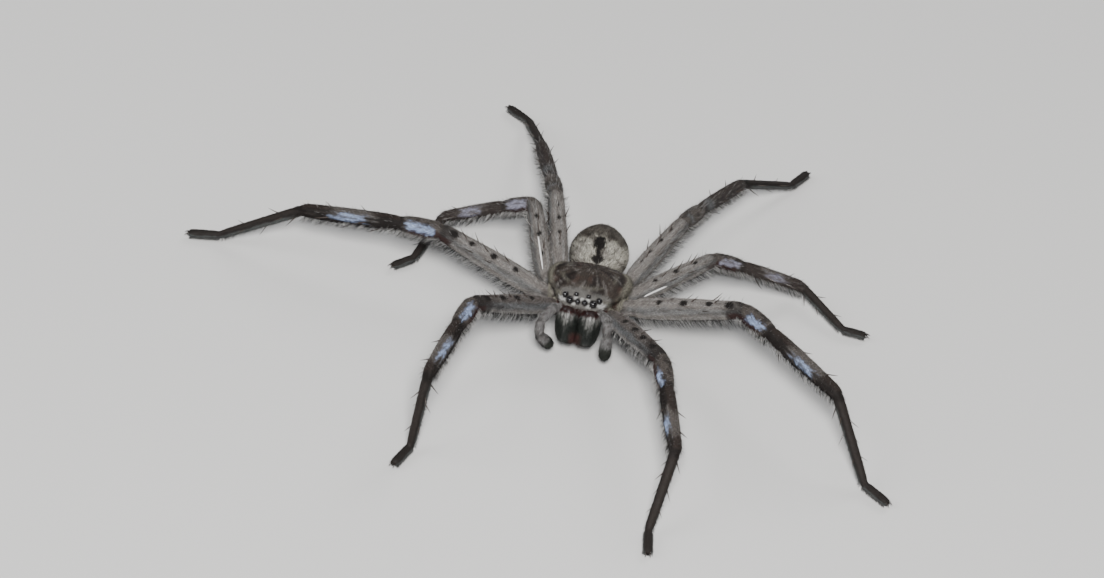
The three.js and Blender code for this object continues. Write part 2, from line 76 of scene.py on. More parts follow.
# Turn and rise of the thigh, turn and rise of the shin, turn of the metatarsus, turn of the foot
POSE = {
    "left_1": (-51, 14, -72, -5, -98, -79),
    "left_2": (-1, 14, -40, -2, -52, -34),
    "left_3": (39, 14, 23, -25, -40, 0),
    "left_4": (64, 18, 68, -11, 53, 66),
    "right_1": (-135, 22, -97, 2, -112, -110),
    "right_2": (166, 13, 176, -8, -169, -172),
    "right_3": (111, 17, 174, -29, -103, -138),
    "right_4": (106, 18, 109, -14, 110, 144),
}
PALPS = {
    "right": ((-3.0, -4.9, -1.6), (-4.5, -8.5, 1.2), (-6.1, -11.7, 0.1), (-6.1, -12.4, -2.6),
              (-3.9, -11.2, -5.2)),
    "left": ((3.0, -4.9, -1.6), (4.3, -7.9, 0.9), (5.3, -9.3, 0.9), (5.7, -10.2, -1.4),
             (5.8, -11.4, -5.6)),
}
PALP_RADII = (0.95, 0.9, 0.92, 1.15)
PALP_SEGMENTS = ("coxa", "palp", "palp", "palp_tip")

BODY_AXES = (Matrix.Translation(Vector(ORIGIN_SHIFT) * MM + Vector((0, 0, BODY_HEIGHT * MM)))
             @ Matrix.Rotation(math.radians(BODY_PITCH), 4, "X"))
ABDOMEN_AT = Vector((0, 6.9, -0.2)) * MM
ABDOMEN_PITCH, ABDOMEN_TURN = 3, 5
ABDOMEN_AXES = (BODY_AXES @ Matrix.Translation(ABDOMEN_AT)
                @ Matrix.Rotation(math.radians(ABDOMEN_PITCH), 4, "X")
                @ Matrix.Rotation(math.radians(ABDOMEN_TURN), 4, "Z"))
ACROSS_BODY = np.array(BODY_AXES)[:3, 0]
UP = np.array((0.0, 0.0, 1.0))
SIDES = (("left", 1), ("right", -1))


# %% Joints of the legs and palps
def side_of(name):
    """1 for the spider's left, which is +X, and -1 for its right."""
    return 1 if name.startswith("left") else -1


def radii_of(name):
    return LEGS[int(name[-1])]["radii"]


def unit(vectors):
    return vectors / np.linalg.norm(vectors, axis=-1, keepdims=True)


def placed(columns, place):
    """The matrix with these three axes, moved to a place."""
    matrix = Matrix(np.column_stack(columns).tolist()).to_4x4()
    matrix.translation = Vector(place)
    return matrix


def heading(degrees, climb):
    turn, lift = math.radians(degrees), math.radians(climb)
    return np.array((math.cos(turn) * math.cos(lift), math.sin(turn) * math.cos(lift),
                     math.sin(lift)))


def in_body(x, y, z):
    return np.array(BODY_AXES @ Vector((x * MM, y * MM, z * MM)))


def leg_joints(name):
    """Hip, root, knee, patella end, tibia end, ankle and toe of one leg, in metres."""
    sign, leg = side_of(name), LEGS[int(name[-1])]
    femur_turn, femur_rise, shin_turn, shin_rise, meta_turn, toe_turn = POSE[name]
    femur, patella, tibia, metatarsus, tarsus = (length * MM for length in leg["lengths"])
    joints = [in_body(sign * leg["hip"][0], leg["hip"][1], HIP_Z),
              in_body(sign * leg["root"][0], leg["root"][1], 0)]
    joints.append(joints[-1] + femur * heading(femur_turn, femur_rise))
    joints.append(joints[-1] + patella * heading(shin_turn, shin_rise + PATELLA_RISE))
    joints.append(joints[-1] + tibia * heading(shin_turn, shin_rise))
    drop = math.degrees(math.asin((joints[-1][2] - ANKLE_HEIGHT * MM) / metatarsus))
    joints.append(joints[-1] + metatarsus * heading(meta_turn, -drop))
    drop = math.degrees(math.asin((ANKLE_HEIGHT - TOE_HEIGHT) * MM / tarsus))
    joints.append(joints[-1] + tarsus * heading(toe_turn, -drop))
    return joints


LEG_JOINTS = {name: leg_joints(name) for name in POSE}
PALP_JOINTS = {side: [in_body(*point) for point in points] for side, points in PALPS.items()}
for name, joints in LEG_JOINTS.items():
    print(name, "knee at", np.round(joints[2] / MM, 1), "mm")

# %% [markdown]
# ## The camera
# The photograph looks down on the spider from the front with a long lens. The same view is set
# here from its angles, its distance and its lens, and it is rolled a few degrees as the
# photographer held it. Depth of field stays off.

# %% Camera
PHOTO_WIDTH = 1104
FOCAL_LENGTH = 5564  # in pixels of the photograph
SENSOR_MM = 36.0
ELEVATION, AZIMUTH, ROLL = (math.radians(angle) for angle in (39.7, 8.2, 6.4))
CAMERA_DISTANCE = 987 * MM
LOOK_AT = np.array((-0.3, 2.0, 5.0)) * MM


def aim_camera():
    back = np.array((math.sin(AZIMUTH) * math.cos(ELEVATION),
                     -math.cos(AZIMUTH) * math.cos(ELEVATION), math.sin(ELEVATION)))
    right = np.array((math.cos(AZIMUTH), math.sin(AZIMUTH), 0.0))
    up = np.cross(back, right)
    axes = (math.cos(ROLL) * right + math.sin(ROLL) * up,
            -math.sin(ROLL) * right + math.cos(ROLL) * up, back)
    lens = bpy.data.cameras.new("photo_camera")
    lens.sensor_width = SENSOR_MM
    lens.lens = FOCAL_LENGTH / PHOTO_WIDTH * SENSOR_MM
    lens.clip_start = 0.01
    camera = bpy.data.objects.new("photo_camera", lens)
    camera.matrix_world = placed(axes, LOOK_AT + back * CAMERA_DISTANCE)
    bpy.context.scene.collection.objects.link(camera)
    bpy.context.scene.camera = camera
    print("lens", round(lens.lens, 1), "mm")


aim_camera()


# %% [markdown]
# ## Shader maths
# A material is easier to read as a sum than as a tangle of nodes. This small class wraps a
# socket, so that an expression such as `0.6 + grain * 0.25` adds its own Math nodes.

# %% Sockets that take operators
class Wire:
    """One output socket of a node tree, with arithmetic."""

    def __init__(self, tree, socket):
        self.tree, self.socket = tree, socket

    def __add__(self, other):
        return node(self.tree, "ShaderNodeMath", {"operation": "ADD"}, (self, other))

    def __mul__(self, other):
        return node(self.tree, "ShaderNodeMath", {"operation": "MULTIPLY"}, (self, other))

    __radd__ = __add__


def node(tree, kind, settings=None, inputs=(), output=0):
    """Adds a node, sets it up, feeds its sockets by order or by name, and returns an output."""
    new = tree.nodes.new(kind)
    for key, value in (settings or {}).items():
        setattr(new, key, value)
    for key, value in inputs.items() if isinstance(inputs, dict) else enumerate(inputs):
        if isinstance(value, Wire):
            tree.links.new(value.socket, new.inputs[key])
        else:
            new.inputs[key].default_value = value
    return Wire(tree, new.outputs[output])


def mix_colours(tree, factor, first, second, blend="MIX"):
    """Mixes two colours. A colour is a Wire or three numbers."""
    fill = [value if isinstance(value, Wire) else (*value, 1.0) for value in (first, second)]
    return node(tree, "ShaderNodeMix", {"data_type": "RGBA", "blend_type": blend},
                {0: factor, 6: fill[0], 7: fill[1]}, output=2)


def noise(tree, scale, detail):
    place = node(tree, "ShaderNodeTexCoord", output=3)
    return node(tree, "ShaderNodeTexNoise", {}, {"Vector": place, "Scale": scale,
                                                 "Detail": detail, "Roughness": 0.55})


def bump(tree, height, strength, distance):
    return node(tree, "ShaderNodeBump", {}, {"Strength": strength, "Distance": distance,
                                             "Height": height})


def coat_tone(tree):
    return node(tree, "ShaderNodeAttribute", {"attribute_name": "coat_tone"})


def new_material(name, wires, **constants):
    """A Principled material. `wires` takes its tree and returns what feeds each socket."""
    material = bpy.data.materials.new(name)
    material.use_nodes = True
    tree = material.node_tree
    shader = tree.nodes["Principled BSDF"]
    for key, value in constants.items():
        shader.inputs[key.replace("_", " ")].default_value = value
    for key, wire in wires(tree).items():
        tree.links.new(wire.socket, shader.inputs[key])
    return material


# %% [markdown]
# ## Markings
# The skin and every hair take their colour from one function of place, so that they always
# agree. A point is first told which limb it belongs to, how far along that limb it lies and on
# which side. Then the spots, bands and shades are painted by those numbers.

# %% Where a point lies on the spider
def side_and_up(along):
    side = np.cross(along, UP)
    side /= np.linalg.norm(side)
    return side, np.cross(side, along)


def outward(along, sign, degrees):
    """The way out from a limb at an angle round it: 0 is its front, 90 its top."""
    side, up = side_and_up(along)
    turn = np.radians(degrees)
    return side * sign * np.cos(turn) + up * np.sin(turn)


def limb_table():
    """Every limb segment: limb index, step along the limb, ends, radius and side."""
    rows = []
    for limb, (name, joints) in enumerate((LEG_JOINTS | PALP_JOINTS).items()):
        on_leg = name in LEG_JOINTS
        for i, radius in enumerate(radii_of(name) if on_leg else PALP_RADII):
            rows.append((limb, i - on_leg, joints[i], joints[i + 1], radius * MM, side_of(name)))
    return rows


LIMB_TABLE = limb_table()
THORAX_HALF = np.array((7.4, 7.7, 4.5)) * MM
THORAX_MIDDLE = np.array((0.0, -0.4, 0.3)) * MM
ABDOMEN_HALF = np.array((5.3, 6.6, 4.1)) * MM
ABDOMEN_MIDDLE = np.array((0.0, 6.2, 0.0)) * MM
# Codes of the regions that follow the legs
FIRST_PALP, THORAX, ABDOMEN = len(LEG_JOINTS), 100, 101


def to_axes(points, axes):
    inverse = np.array(axes.inverted())
    return points @ inverse[:3, :3].T + inverse[:3, 3]


def locate(points):
    """Region, step along the limb, angle round it and direction along it for many points."""
    count = len(points)
    best = np.full(count, np.inf)
    found = (np.zeros(count, int), np.zeros(count), np.zeros(count), np.zeros((count, 3)))

    def claim(away, *values):
        nearer = away < best
        for kept, value in zip((best, *found), (away, *values)):
            kept[nearer] = np.broadcast_to(value, kept.shape)[nearer]

    for limb, number, start, end, radius, sign in LIMB_TABLE:
        line = end - start
        length = np.linalg.norm(line)
        along = line / length
        share = np.clip((points - start) @ along / length, 0, 1)
        out = points - start - share[:, None] * line
        side, up = side_and_up(along)
        claim(np.linalg.norm(out, axis=1) - radius, limb, number + share,
              np.degrees(np.arctan2(out @ up, out @ side * sign)), along)
    for code, axes, middle, half in ((THORAX, BODY_AXES, THORAX_MIDDLE, THORAX_HALF),
                                     (ABDOMEN, ABDOMEN_AXES, ABDOMEN_MIDDLE, ABDOMEN_HALF)):
        local = to_axes(points, axes) - middle
        claim((np.linalg.norm(local / half, axis=1) - 1) * half[2], code,
              (local[:, 1] / half[1] + 1) / 2,
              np.degrees(np.arctan2(local[:, 2], local[:, 0])), np.array(axes)[:3, 1])
    return found


# %% Smooth masks and rough noise
def rise(value, low, high):
    """0 below low, 1 above high, smooth between."""
    share = np.clip((value - low) / (high - low), 0, 1)
    return share * share * (3 - 2 * share)


def fall(value, low, high):
    return 1 - rise(value, low, high)


def band(value, low, high, soft):
    return rise(value, low - soft, low + soft) * fall(value, high - soft, high + soft)


def waves(points, size, seed, count=7):
    """A soft random field from -1 to 1 whose lumps are about `size` metres wide."""
    rng = np.random.default_rng(seed)
    total = np.zeros(len(points))
    for _ in range(count):
        way = rng.normal(size=3)
        way *= rng.uniform(0.7, 1.5) * math.pi / size / np.linalg.norm(way)
        total += np.sin(points @ way + rng.uniform(0, 2 * math.pi))
    return total / math.sqrt(count / 2) / 1.6


def flat_waves(first, second, size, seed):
    """The same field on a surface that is unrolled in millimetres."""
    return waves(np.column_stack((first, second, 0 * first)) * MM, size * MM, seed)


def painted(base, *layers):
    """Paints layers over a base in turn. A layer is a colour and the mask where it shows."""
    for colour, mask in layers:
        base = base + (np.asarray(colour) - base) * np.clip(mask, 0, 1)[:, None]
    return base


# %% Palette, in linear light
WARM_GREY = (0.258, 0.237, 0.218)
BLUE_GREY = (0.15, 0.158, 0.16)
PALE_EDGE = (0.34, 0.33, 0.32)
# Near-black: the colour of the eye sockets, and on the undersides of legs and palps dark hair with
# painted shade
UNDERSIDE = (0.007, 0.006, 0.006)
SPOT = (0.009, 0.007, 0.006)
DARK_BROWN = (0.011, 0.008, 0.007)
MID_BROWN = (0.060, 0.043, 0.036)
SHADE_BLUE = (0.075, 0.082, 0.090)
RED_BROWN = (0.028, 0.006, 0.005)
KNEE_GREY = (0.105, 0.090, 0.080)
BLUE_WHITE = (0.40, 0.50, 0.74)
LILAC = (0.34, 0.335, 0.42)
PALP_GREY = (0.21, 0.203, 0.2)
PALP_DARK = (0.018, 0.022, 0.017)
FOOT_BROWN = (0.018, 0.014, 0.012)
FOOT_TEAL_SHEEN = (0.090, 0.098, 0.095)
OLIVE_GREY = (0.215, 0.2, 0.16)
SHELL_BROWN = (0.060, 0.046, 0.037)
SHELL_DARK = (0.012, 0.009, 0.008)
SHELL_RED = (0.105, 0.058, 0.045)
SILVER = (0.22, 0.212, 0.196)
WHITE_HAIR = (0.66, 0.65, 0.62)
CREAM = (0.48, 0.455, 0.39)
ABDOMEN_DARK = (0.056, 0.044, 0.034)
JAW_DARK = (0.013, 0.016, 0.013)
JAW_SILVER = (0.40, 0.39, 0.37)
JAW_RED = (0.1, 0.04, 0.036)

# %% Leg markings
# Spots down the top of each thigh: share along it and size in millimetres
FEMUR_SPOTS = {1: ((0.24, 0.6), (0.44, 0.7), (0.63, 0.75), (0.84, 0.8)),
               2: ((0.23, 0.62), (0.46, 0.76), (0.69, 0.68), (0.88, 0.95)),
               3: ((0.25, 0.46), (0.52, 0.56), (0.77, 0.5)),
               4: ((0.26, 0.3), (0.42, 0.4), (0.62, 0.44), (0.8, 0.34))}
SPOT_ANGLE = {1: 80, 2: 76, 3: 84, 4: 96}
# How dark the end of a thigh is, and where that begins
THIGH_DARKENING = {1: (0.85, 0.55), 2: (0.86, 0.76), 3: (0.4, 0.8), 4: (0.2, 0.8)}
SHIN_TONE = {1: DARK_BROWN, 2: DARK_BROWN, 3: (0.048, 0.038, 0.034), 4: (0.042, 0.034, 0.032)}
# The blue-white patches: angles round the leg, steps on the knee, shares of the shin
PATCHES = {"left_1": ((14, 66), (1.52, 2.03), (0.50, 0.74)),
           "left_2": ((10, 62), (1.34, 1.86), (0.40, 0.68)),
           "left_3": ((14, 70), (1.15, 1.80), (0.34, 0.62)),
           "right_1": ((36, 90), (1.20, 1.88), (0.40, 0.74)),
           "right_2": ((2, 66), (1.15, 1.82), (0.36, 0.64)),
           "right_3": ((6, 84), (1.15, 1.82), (0.34, 0.64))}
# Streaks in the coat run along the leg, so the pattern is squeezed this much lengthwise
STREAK_SQUEEZE = 1.9


def paint_leg(points, name, step, angle):
    """Colours the points of one leg. Angle 0 faces the front, 90 is the top of the leg."""
    number = int(name[-1])
    patched, front_leg = name in PATCHES, number == 1
    patch_tone = BLUE_WHITE if number < 3 else LILAC
    radius, length = radii_of(name)[1], LEGS[number]["lengths"][0]
    rough, fine = waves(points, 1.1 * MM, 11), waves(points, 0.3 * MM, 12)
    wobble = angle + 5 * rough
    share = step - np.floor(step)
    streaked = flat_waves(np.radians(angle) * radius, step * STREAK_SQUEEZE, 0.42, 13) + 0.4 * fine
    # The underside is painted near-black: partly its dark hair, partly painted shade where the
    # light does not reach
    below = (UNDERSIDE, band(wobble, -150, -36, 6))

    # Hip and thigh
    thigh = painted(
        WARM_GREY, (BLUE_GREY, 0.7 * band(wobble, 6, 44, 14)),
        (MID_BROWN, (0.6 if front_leg else 0.42) * rise(streaked, 0.25, 1.1)),
        (PALE_EDGE, 0.5 * rise(-streaked, 0.3, 1.1)),
        (MID_BROWN, 0.6 * fall(step, -0.1, 0.12) * rise(rough, -0.2, 0.6)))
    if front_leg:
        thigh = painted(thigh, (SHADE_BLUE, 0.25 + 0.3 * band(wobble, 0, 50, 14)),
                        (MID_BROWN, 0.55 * band(wobble, 45, 150, 14)))
    strength, start = THIGH_DARKENING[number]
    thigh = painted(
        thigh, (DARK_BROWN, strength * rise(step + 0.05 * rough, start, 0.97)),
        (PALE_EDGE, 0.7 * band(wobble, -36, -24, 5) * band(step, 0.08, 0.8, 0.06)), below)
    for place, size in FEMUR_SPOTS[number]:
        away = np.hypot((step - place) * length, np.radians(angle - SPOT_ANGLE[number]) * radius)
        thigh = painted(thigh, (SPOT, fall(away / size + 0.12 * fine, 0.8, 1.1)))

    # Patella and tibia
    knee = painted(KNEE_GREY, (DARK_BROWN, 0.6 * rise(rough, -0.2, 0.6)),
                   (DARK_BROWN, 0.8 * rise(step, 1.86, 1.96)))
    shin = painted(SHIN_TONE[number], (MID_BROWN, 0.55 * band(wobble, 70, 160, 15)),
                   (KNEE_GREY, (0.25 if number < 3 else 0.6) * rise(streaked, 0.5, 1.3)))
    if patched:
        bare = band(wobble, -75, 20, 10) * rise(step, 0.84, 0.9)
        thigh = painted(thigh, (RED_BROWN, bare * (0.95 if number < 3 else 0.6)))
        (low, high), knee_ends, (start, stop) = PATCHES[name]
        broken = 0.25 + 0.75 * rise(0.5 * rough - streaked, -1.0, 0.0)
        patch = (band(wobble + 12 * fine, low + 4, high - 6, 11)
                 * band(step + 0.05 * rough + 0.06 * streaked, *knee_ends, 0.06))
        knee = painted(
            knee, (RED_BROWN, 0.85 * band(wobble, -30, 24, 8) * fall(step, 1.6, 1.9)),
            (patch_tone, broken * patch))
        where = share + 0.035 * rough + 0.05 * streaked
        halo = band(wobble, 20, 165, 15) * band(where, start - 0.08, stop + 0.06, 0.07)
        patch = band(wobble + 12 * fine, low, high - 8, 11) * band(where, start, stop, 0.06)
        shin = painted(shin, (WARM_GREY, 0.4 * halo), (patch_tone, 0.92 * broken * patch))
    else:
        knee = painted(knee, (BLUE_GREY, 0.8 * band(step, 1.03, 1.25, 0.05)
                              * band(wobble, 0, 100, 10)))
        shin = painted(shin, (BLUE_GREY, 0.6 * band(share, 0.04, 0.2, 0.05)
                              * band(wobble, 0, 110, 10)))

    # Metatarsus and tarsus
    # Along the front and back edges the dark brush hair of the foot gets a painted teal sheen
    edge = band(wobble, -40, 14, 9) + band(np.abs(wobble), 168, 190, 8)
    foot = painted(
        FOOT_BROWN, (MID_BROWN, 0.25 * band(wobble, 50, 150, 20) * fall(step, 3.9, 4.1)),
        (DARK_BROWN, 0.8 * fall(step, 3.04, 3.14)),
        (DARK_BROWN, 0.7 * band(wobble, 18, 48, 8) * fall(step, 3.9, 4.1)),
        (FOOT_TEAL_SHEEN, 0.9 * edge * rise(step, 3.08, 3.2)))

    colour = thigh
    for first, part in ((1, painted(knee, below)), (2, painted(shin, below)), (3, foot)):
        over = step >= first
        colour[over] = part[over]
    return colour


# %% Eyes: x, y, z and radius in millimetres, on the left side
EYES = {
    "anterior_median": (0.63, -7.62, 2.75, 0.45),
    "anterior_lateral": (2.08, -7.35, 2.6, 0.6),
    "posterior_median": (1.1, -6.9, 3.75, 0.38),
    "posterior_lateral": (3.1, -6.7, 3.15, 0.5),
}
# White tufts under the hind eyes and beside the outer front eyes, with their radii
WHITE_TUFTS = ((1.05, -7.35, 3.3, 0.42), (3.0, -7.2, 2.75, 0.5), (3.55, -6.9, 2.3, 0.6),
               (1.2, -7.55, 2.15, 0.5), (0.0, -7.5, 3.3, 0.3))
FOVEA_Y = 1.6


def ball_distance(local, x, y, z, radius):
    """Distance from the nearer of a mirrored pair of balls, in ball radii."""
    mirrored = np.column_stack((np.abs(local[:, 0]), local[:, 1:]))
    return np.linalg.norm(mirrored - (x, y, z), axis=1) / radius


# %% Body markings
def paint_thorax(points):
    local = to_axes(points, BODY_AXES) / MM
    x, y, z = local.T
    rough, fine = waves(points, 1.5 * MM, 21), waves(points, 0.4 * MM, 22)
    ring = np.hypot(x / 7.4, (y + 0.4) / 7.6) + 0.02 * rough
    turn, reach = np.arctan2(x, y - FOVEA_Y), np.hypot(x, y - FOVEA_Y)
    spoke = np.sin(np.degrees(turn) / 8.0 + 0.8 * rough)
    rays = flat_waves(turn * 3.5, reach * 0.16, 0.4, 23) + 0.4 * fine
    tufts = [(WHITE_HAIR, fall(ball_distance(local, *tuft) + 0.2 * fine, 0.7, 1.15))
             for tuft in WHITE_TUFTS]
    eye_rings = [(UNDERSIDE, fall(ball_distance(local, *eye), 1.2, 1.42))
                 for eye in EYES.values()]
    return painted(
        SHELL_BROWN, (SHELL_RED, 0.6 * rise(rough, 0.1, 0.8)),
        (SHELL_DARK, 0.85 * rise(spoke + 0.5 * rough, 0.1, 0.8) * rise(ring, 0.1, 0.35)),
        (SHELL_DARK, 0.6 * band(ring, 0.74, 0.82, 0.04) * rise(y, -4.5, -1.5)),
        (OLIVE_GREY, 0.5 * band(ring, 0.60, 0.68, 0.04) * rise(spoke, -0.5, 0.5)),
        (WARM_GREY, 0.6 * rise(rays, 0.3, 1.1)),
        (SILVER, 0.85 * fall(y + 0.5 * rough - 0.12 * np.abs(x), -6.5, -5.2)),
        (OLIVE_GREY, rise(ring, 0.84, 0.91) * rise(y, -7.2, -5.4)),
        *tufts, (RED_BROWN, fall(z, 1.3, 1.7) * fall(y, -6.4, -5.6)),
        *eye_rings, (MID_BROWN, 0.8 * fall(z, -0.9, -0.3)))


# The black mark on the abdomen: middle and half length as angles over the top, half width in mm
MARKS = {"rear": (66, 18, 1.15), "front": (34, 10, 1.25), "neck": (47, 12, 0.42)}


def paint_abdomen(points):
    x, y, z = (to_axes(points, ABDOMEN_AXES) / MM).T
    rough, fine = waves(points, 1.3 * MM, 31), waves(points, 0.42 * MM, 32)
    over = np.degrees(np.arctan2(z / 4.1, (6.2 - y) / 6.6))
    pair = np.hypot((np.abs(x) - 2.0) / 0.9, (over - 88) / 6.0) + 0.2 * fine
    colour = painted(
        CREAM, (WARM_GREY, 0.55 * rise(rough, -0.2, 0.6)),
        (ABDOMEN_DARK, 0.7 * rise(fine + 0.3 * rough, 0.35, 0.95)),
        (ABDOMEN_DARK, 0.85 * rise(over + 10 * rough, 62, 90)),
        (SPOT, 0.6 * rise(fine - 0.3 * rough, 0.8, 1.3)),
        (ABDOMEN_DARK, 0.85 * fall(z + 0.5 * rough, -1.4, 1.2)),
        (SPOT, 0.55 * fall(pair, 0.7, 1.2)))
    for name, (middle, half, wide) in MARKS.items():
        across, length = np.abs(x) / wide, np.abs(over - middle) / half
        shape = {"rear": np.hypot(across, length) + 0.2 * np.sin(over * 0.62) + 0.12 * fine,
                 "front": 0.82 * (across + length) + 0.1 * fine,
                 "neck": np.hypot(across, length) + 0.1 * fine}[name]
        colour = painted(colour, (SPOT, rise(z, 0.0, 0.8) * fall(shape, 0.88, 1.04)))
    return colour


def paint_palp(points, step, angle):
    fine = waves(points, 0.5 * MM, 41)
    share = step - np.floor(step)
    ends = np.minimum(share, 1 - share)
    jointed = (step > 0.9) & (step < 3.1)
    return painted(PALP_GREY, (MID_BROWN, 0.6 * rise(fine, 0.0, 0.9)),
                   (PALE_EDGE, 0.4 * fall(ends, 0.08, 0.18) * jointed),
                   (DARK_BROWN, 0.6 * fall(ends, 0.02, 0.06) * jointed),
                   (PALP_DARK, rise(step + 0.06 * fine, 3.25, 3.6)),
                   # The underside is painted darker: partly dark hair, partly painted shade
                   (UNDERSIDE, 0.7 * band(angle, -150, -50, 12)))


def paint(points):
    """The coat's colour at every point, and what locate() finds."""
    region, step, angle, along = locate(points)
    colour = np.zeros((len(points), 3))
    for code in np.unique(region):
        mine = region == code
        if code == THORAX:
            colour[mine] = paint_thorax(points[mine])
        elif code == ABDOMEN:
            colour[mine] = paint_abdomen(points[mine])
        elif code >= FIRST_PALP:
            colour[mine] = paint_palp(points[mine], step[mine], angle[mine])
        else:
            colour[mine] = paint_leg(points[mine], list(LEG_JOINTS)[code], step[mine], angle[mine])
    return np.clip(colour, 0.002, 1), region, step, angle, along


# %% [markdown]
# ## Modelling tools
# Each part of the body begins as a filled circle. Its face is extruded along Y, moved and
# resized, ring after ring, as one would by hand. A leg segment is modelled once at unit size and
# each copy is stretched between two joints.

# %% Extrude a closed body ring by ring
def activate(*bodies):
    """Selects just these bodies and makes the first one active."""
    bpy.ops.object.select_all(action="DESELECT")
    for body in reversed(bodies):
        body.select_set(True)
        bpy.context.view_layer.objects.active = body


def extruded_body(name, sides, rings, size=1.0):
    """A closed body along Y. A ring is y, half width, half height and lift."""
    # A ring with no half height is round, and one with no lift stays on the axis
    full = [(*ring, *(ring[1], 0.0)[len(ring) - 2:]) for ring in rings]
    rings = [[size * value for value in ring] for ring in full]
    y, wide, high, lift = rings[0]
    activate()
    bpy.ops.mesh.primitive_circle_add(vertices=sides, radius=1.0, fill_type="NGON",
                                      location=(0, y, lift), rotation=(math.pi / 2, 0, 0))
    body = bpy.context.object
    body.name = name
    bpy.ops.object.transform_apply(location=True, rotation=True, scale=True)
    bpy.ops.object.mode_set(mode="EDIT")
    bpy.ops.mesh.select_all(action="SELECT")
    bpy.ops.transform.resize(value=(wide, 1, high), center_override=(0, y, lift))
    for ring in rings[1:]:
        step = (0, ring[0] - y, ring[3] - lift)
        bpy.ops.mesh.extrude_region_move(TRANSFORM_OT_translate={"value": step})
        bpy.ops.transform.resize(value=(ring[1] / wide, 1, ring[2] / high),
                                 center_override=(0, ring[0], ring[3]))
        y, wide, high, lift = ring
    bpy.ops.mesh.select_all(action="SELECT")
    bpy.ops.mesh.normals_make_consistent(inside=False)
    bpy.ops.object.mode_set(mode="OBJECT")
    return body


def bent_body(name, sides, rings):
    """The same for a round body whose rings are (y, radius, lift)."""
    return extruded_body(name, sides, [(y, radius, radius, lift) for y, radius, lift in rings])


def place_copy(template, matrix):
    """A copy with its own mesh, its place written into the mesh."""
    copy = template.copy()
    copy.data = template.data.copy()
    bpy.context.scene.collection.objects.link(copy)
    copy.data.transform(matrix)
    if matrix.determinant() < 0:
        copy.data.flip_normals()
    return copy


def between(start, end, wide):
    """The matrix that stretches a unit segment along Y from one joint to the next."""
    line = end - start
    side, up = side_and_up(line / np.linalg.norm(line))
    return placed((side * wide, line, up * wide), start)


def aimed(root, way, size):
    """The matrix that points a unit piece along a direction."""
    way = way / np.linalg.norm(way)
    side = np.cross(way, UP)
    side = side / np.linalg.norm(side)
    return placed((side * size, way * size, np.cross(side, way) * size), root)


def apply_modifier(body, kind, **settings):
    activate(body)
    modifier = body.modifiers.new(kind.lower(), kind)
    for key, value in settings.items():
        setattr(modifier, key, value)
    bpy.ops.object.modifier_apply(modifier=modifier.name)


def fuse(body, voxel, iterations):
    """Melts overlapping bodies into one skin and softens the steps of the voxel grid."""
    apply_modifier(body, "REMESH", mode="VOXEL", voxel_size=voxel, use_smooth_shade=True)
    apply_modifier(body, "SMOOTH", factor=0.5, iterations=iterations)


def join_bodies(bodies, name):
    activate(*bodies)
    bpy.ops.object.join()
    joined = bpy.context.object
    joined.name = joined.data.name = name
    return joined


def smooth(body, degrees=50):
    activate(body)
    bpy.ops.object.shade_smooth_by_angle(angle=math.radians(degrees))
    return body


def dress(body, material, replaces=(), slot="femora"):
    body.data.materials.clear()
    body.data.materials.append(material)
    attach(body, "root")
    if replaces:
        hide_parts(*replaces)


# %% [markdown]
# ## The flesh
# A huntsman's leg is not a plain tube. The thigh swells near the body, the short patella is
# waisted at both ends, the shin is fullest at a third of its length, and the foot has flat pads.
# These outlines are given as rings of (place, half width, half height, lift).

# %% Outlines of the unit segments
OUTLINES = {
    "coxa": ((-0.06, 0.5), (0.0, 0.85), (0.3, 1.0), (0.66, 1.0), (0.74, 0.9), (0.8, 1.0),
             (0.95, 0.98), (1.03, 0.7)),
    "femur": ((-0.03, 0.45), (0.0, 0.74), (0.03, 0.86), (0.12, 0.98), (0.25, 1.03, 1.04),
              (0.42, 1.03), (0.62, 0.97, 0.98), (0.8, 0.89, 0.9), (0.92, 0.84, 0.86, 0.02),
              (0.975, 0.8, 0.8, 0.02), (1.01, 0.66, 0.62, 0.02), (1.03, 0.4, 0.36)),
    "patella": ((-0.08, 0.45, 0.45, 0.05), (-0.02, 0.76, 0.74, 0.05), (0.06, 0.93, 0.9, 0.02),
                (0.25, 1.04, 1.02), (0.5, 1.05), (0.75, 1.0), (0.93, 0.86), (1.0, 0.74),
                (1.05, 0.45)),
    "tibia": ((-0.03, 0.5), (0.0, 0.8), (0.04, 0.92), (0.16, 1.02, 1.0), (0.4, 1.05, 1.03),
              (0.65, 1.0, 0.99), (0.86, 0.92), (0.95, 0.86), (1.0, 0.74), (1.03, 0.4)),
    "metatarsus": ((-0.03, 0.5), (0.0, 0.86), (0.05, 1.02, 1.0), (0.16, 1.07, 1.03),
                   (0.45, 1.0, 0.97), (0.75, 0.96, 0.9), (0.93, 0.9, 0.84), (0.99, 0.74, 0.7),
                   (1.02, 0.4)),
    "tarsus": ((-0.1, 0.45), (-0.04, 0.7, 0.66), (0.03, 0.86, 0.78), (0.2, 0.94, 0.84),
               (0.5, 1.0, 0.86), (0.8, 1.04, 0.86), (0.93, 0.96, 0.78), (1.0, 0.7, 0.55, -0.05),
               (1.04, 0.35, 0.3, -0.1)),
    "palp": ((-0.04, 0.45), (0.0, 0.66), (0.05, 0.84), (0.15, 0.97), (0.5, 1.0), (0.85, 1.0),
             (0.95, 0.84), (1.0, 0.66), (1.04, 0.45)),
    "palp_tip": ((-0.08, 0.45), (0.0, 0.72), (0.1, 0.84), (0.3, 0.96), (0.6, 1.04),
                 (0.82, 0.96), (0.95, 0.7), (1.03, 0.35)),
}
units = {key: extruded_body("unit_" + key, 16, rings) for key, rings in OUTLINES.items()}
print("unit segments:", ", ".join(units))

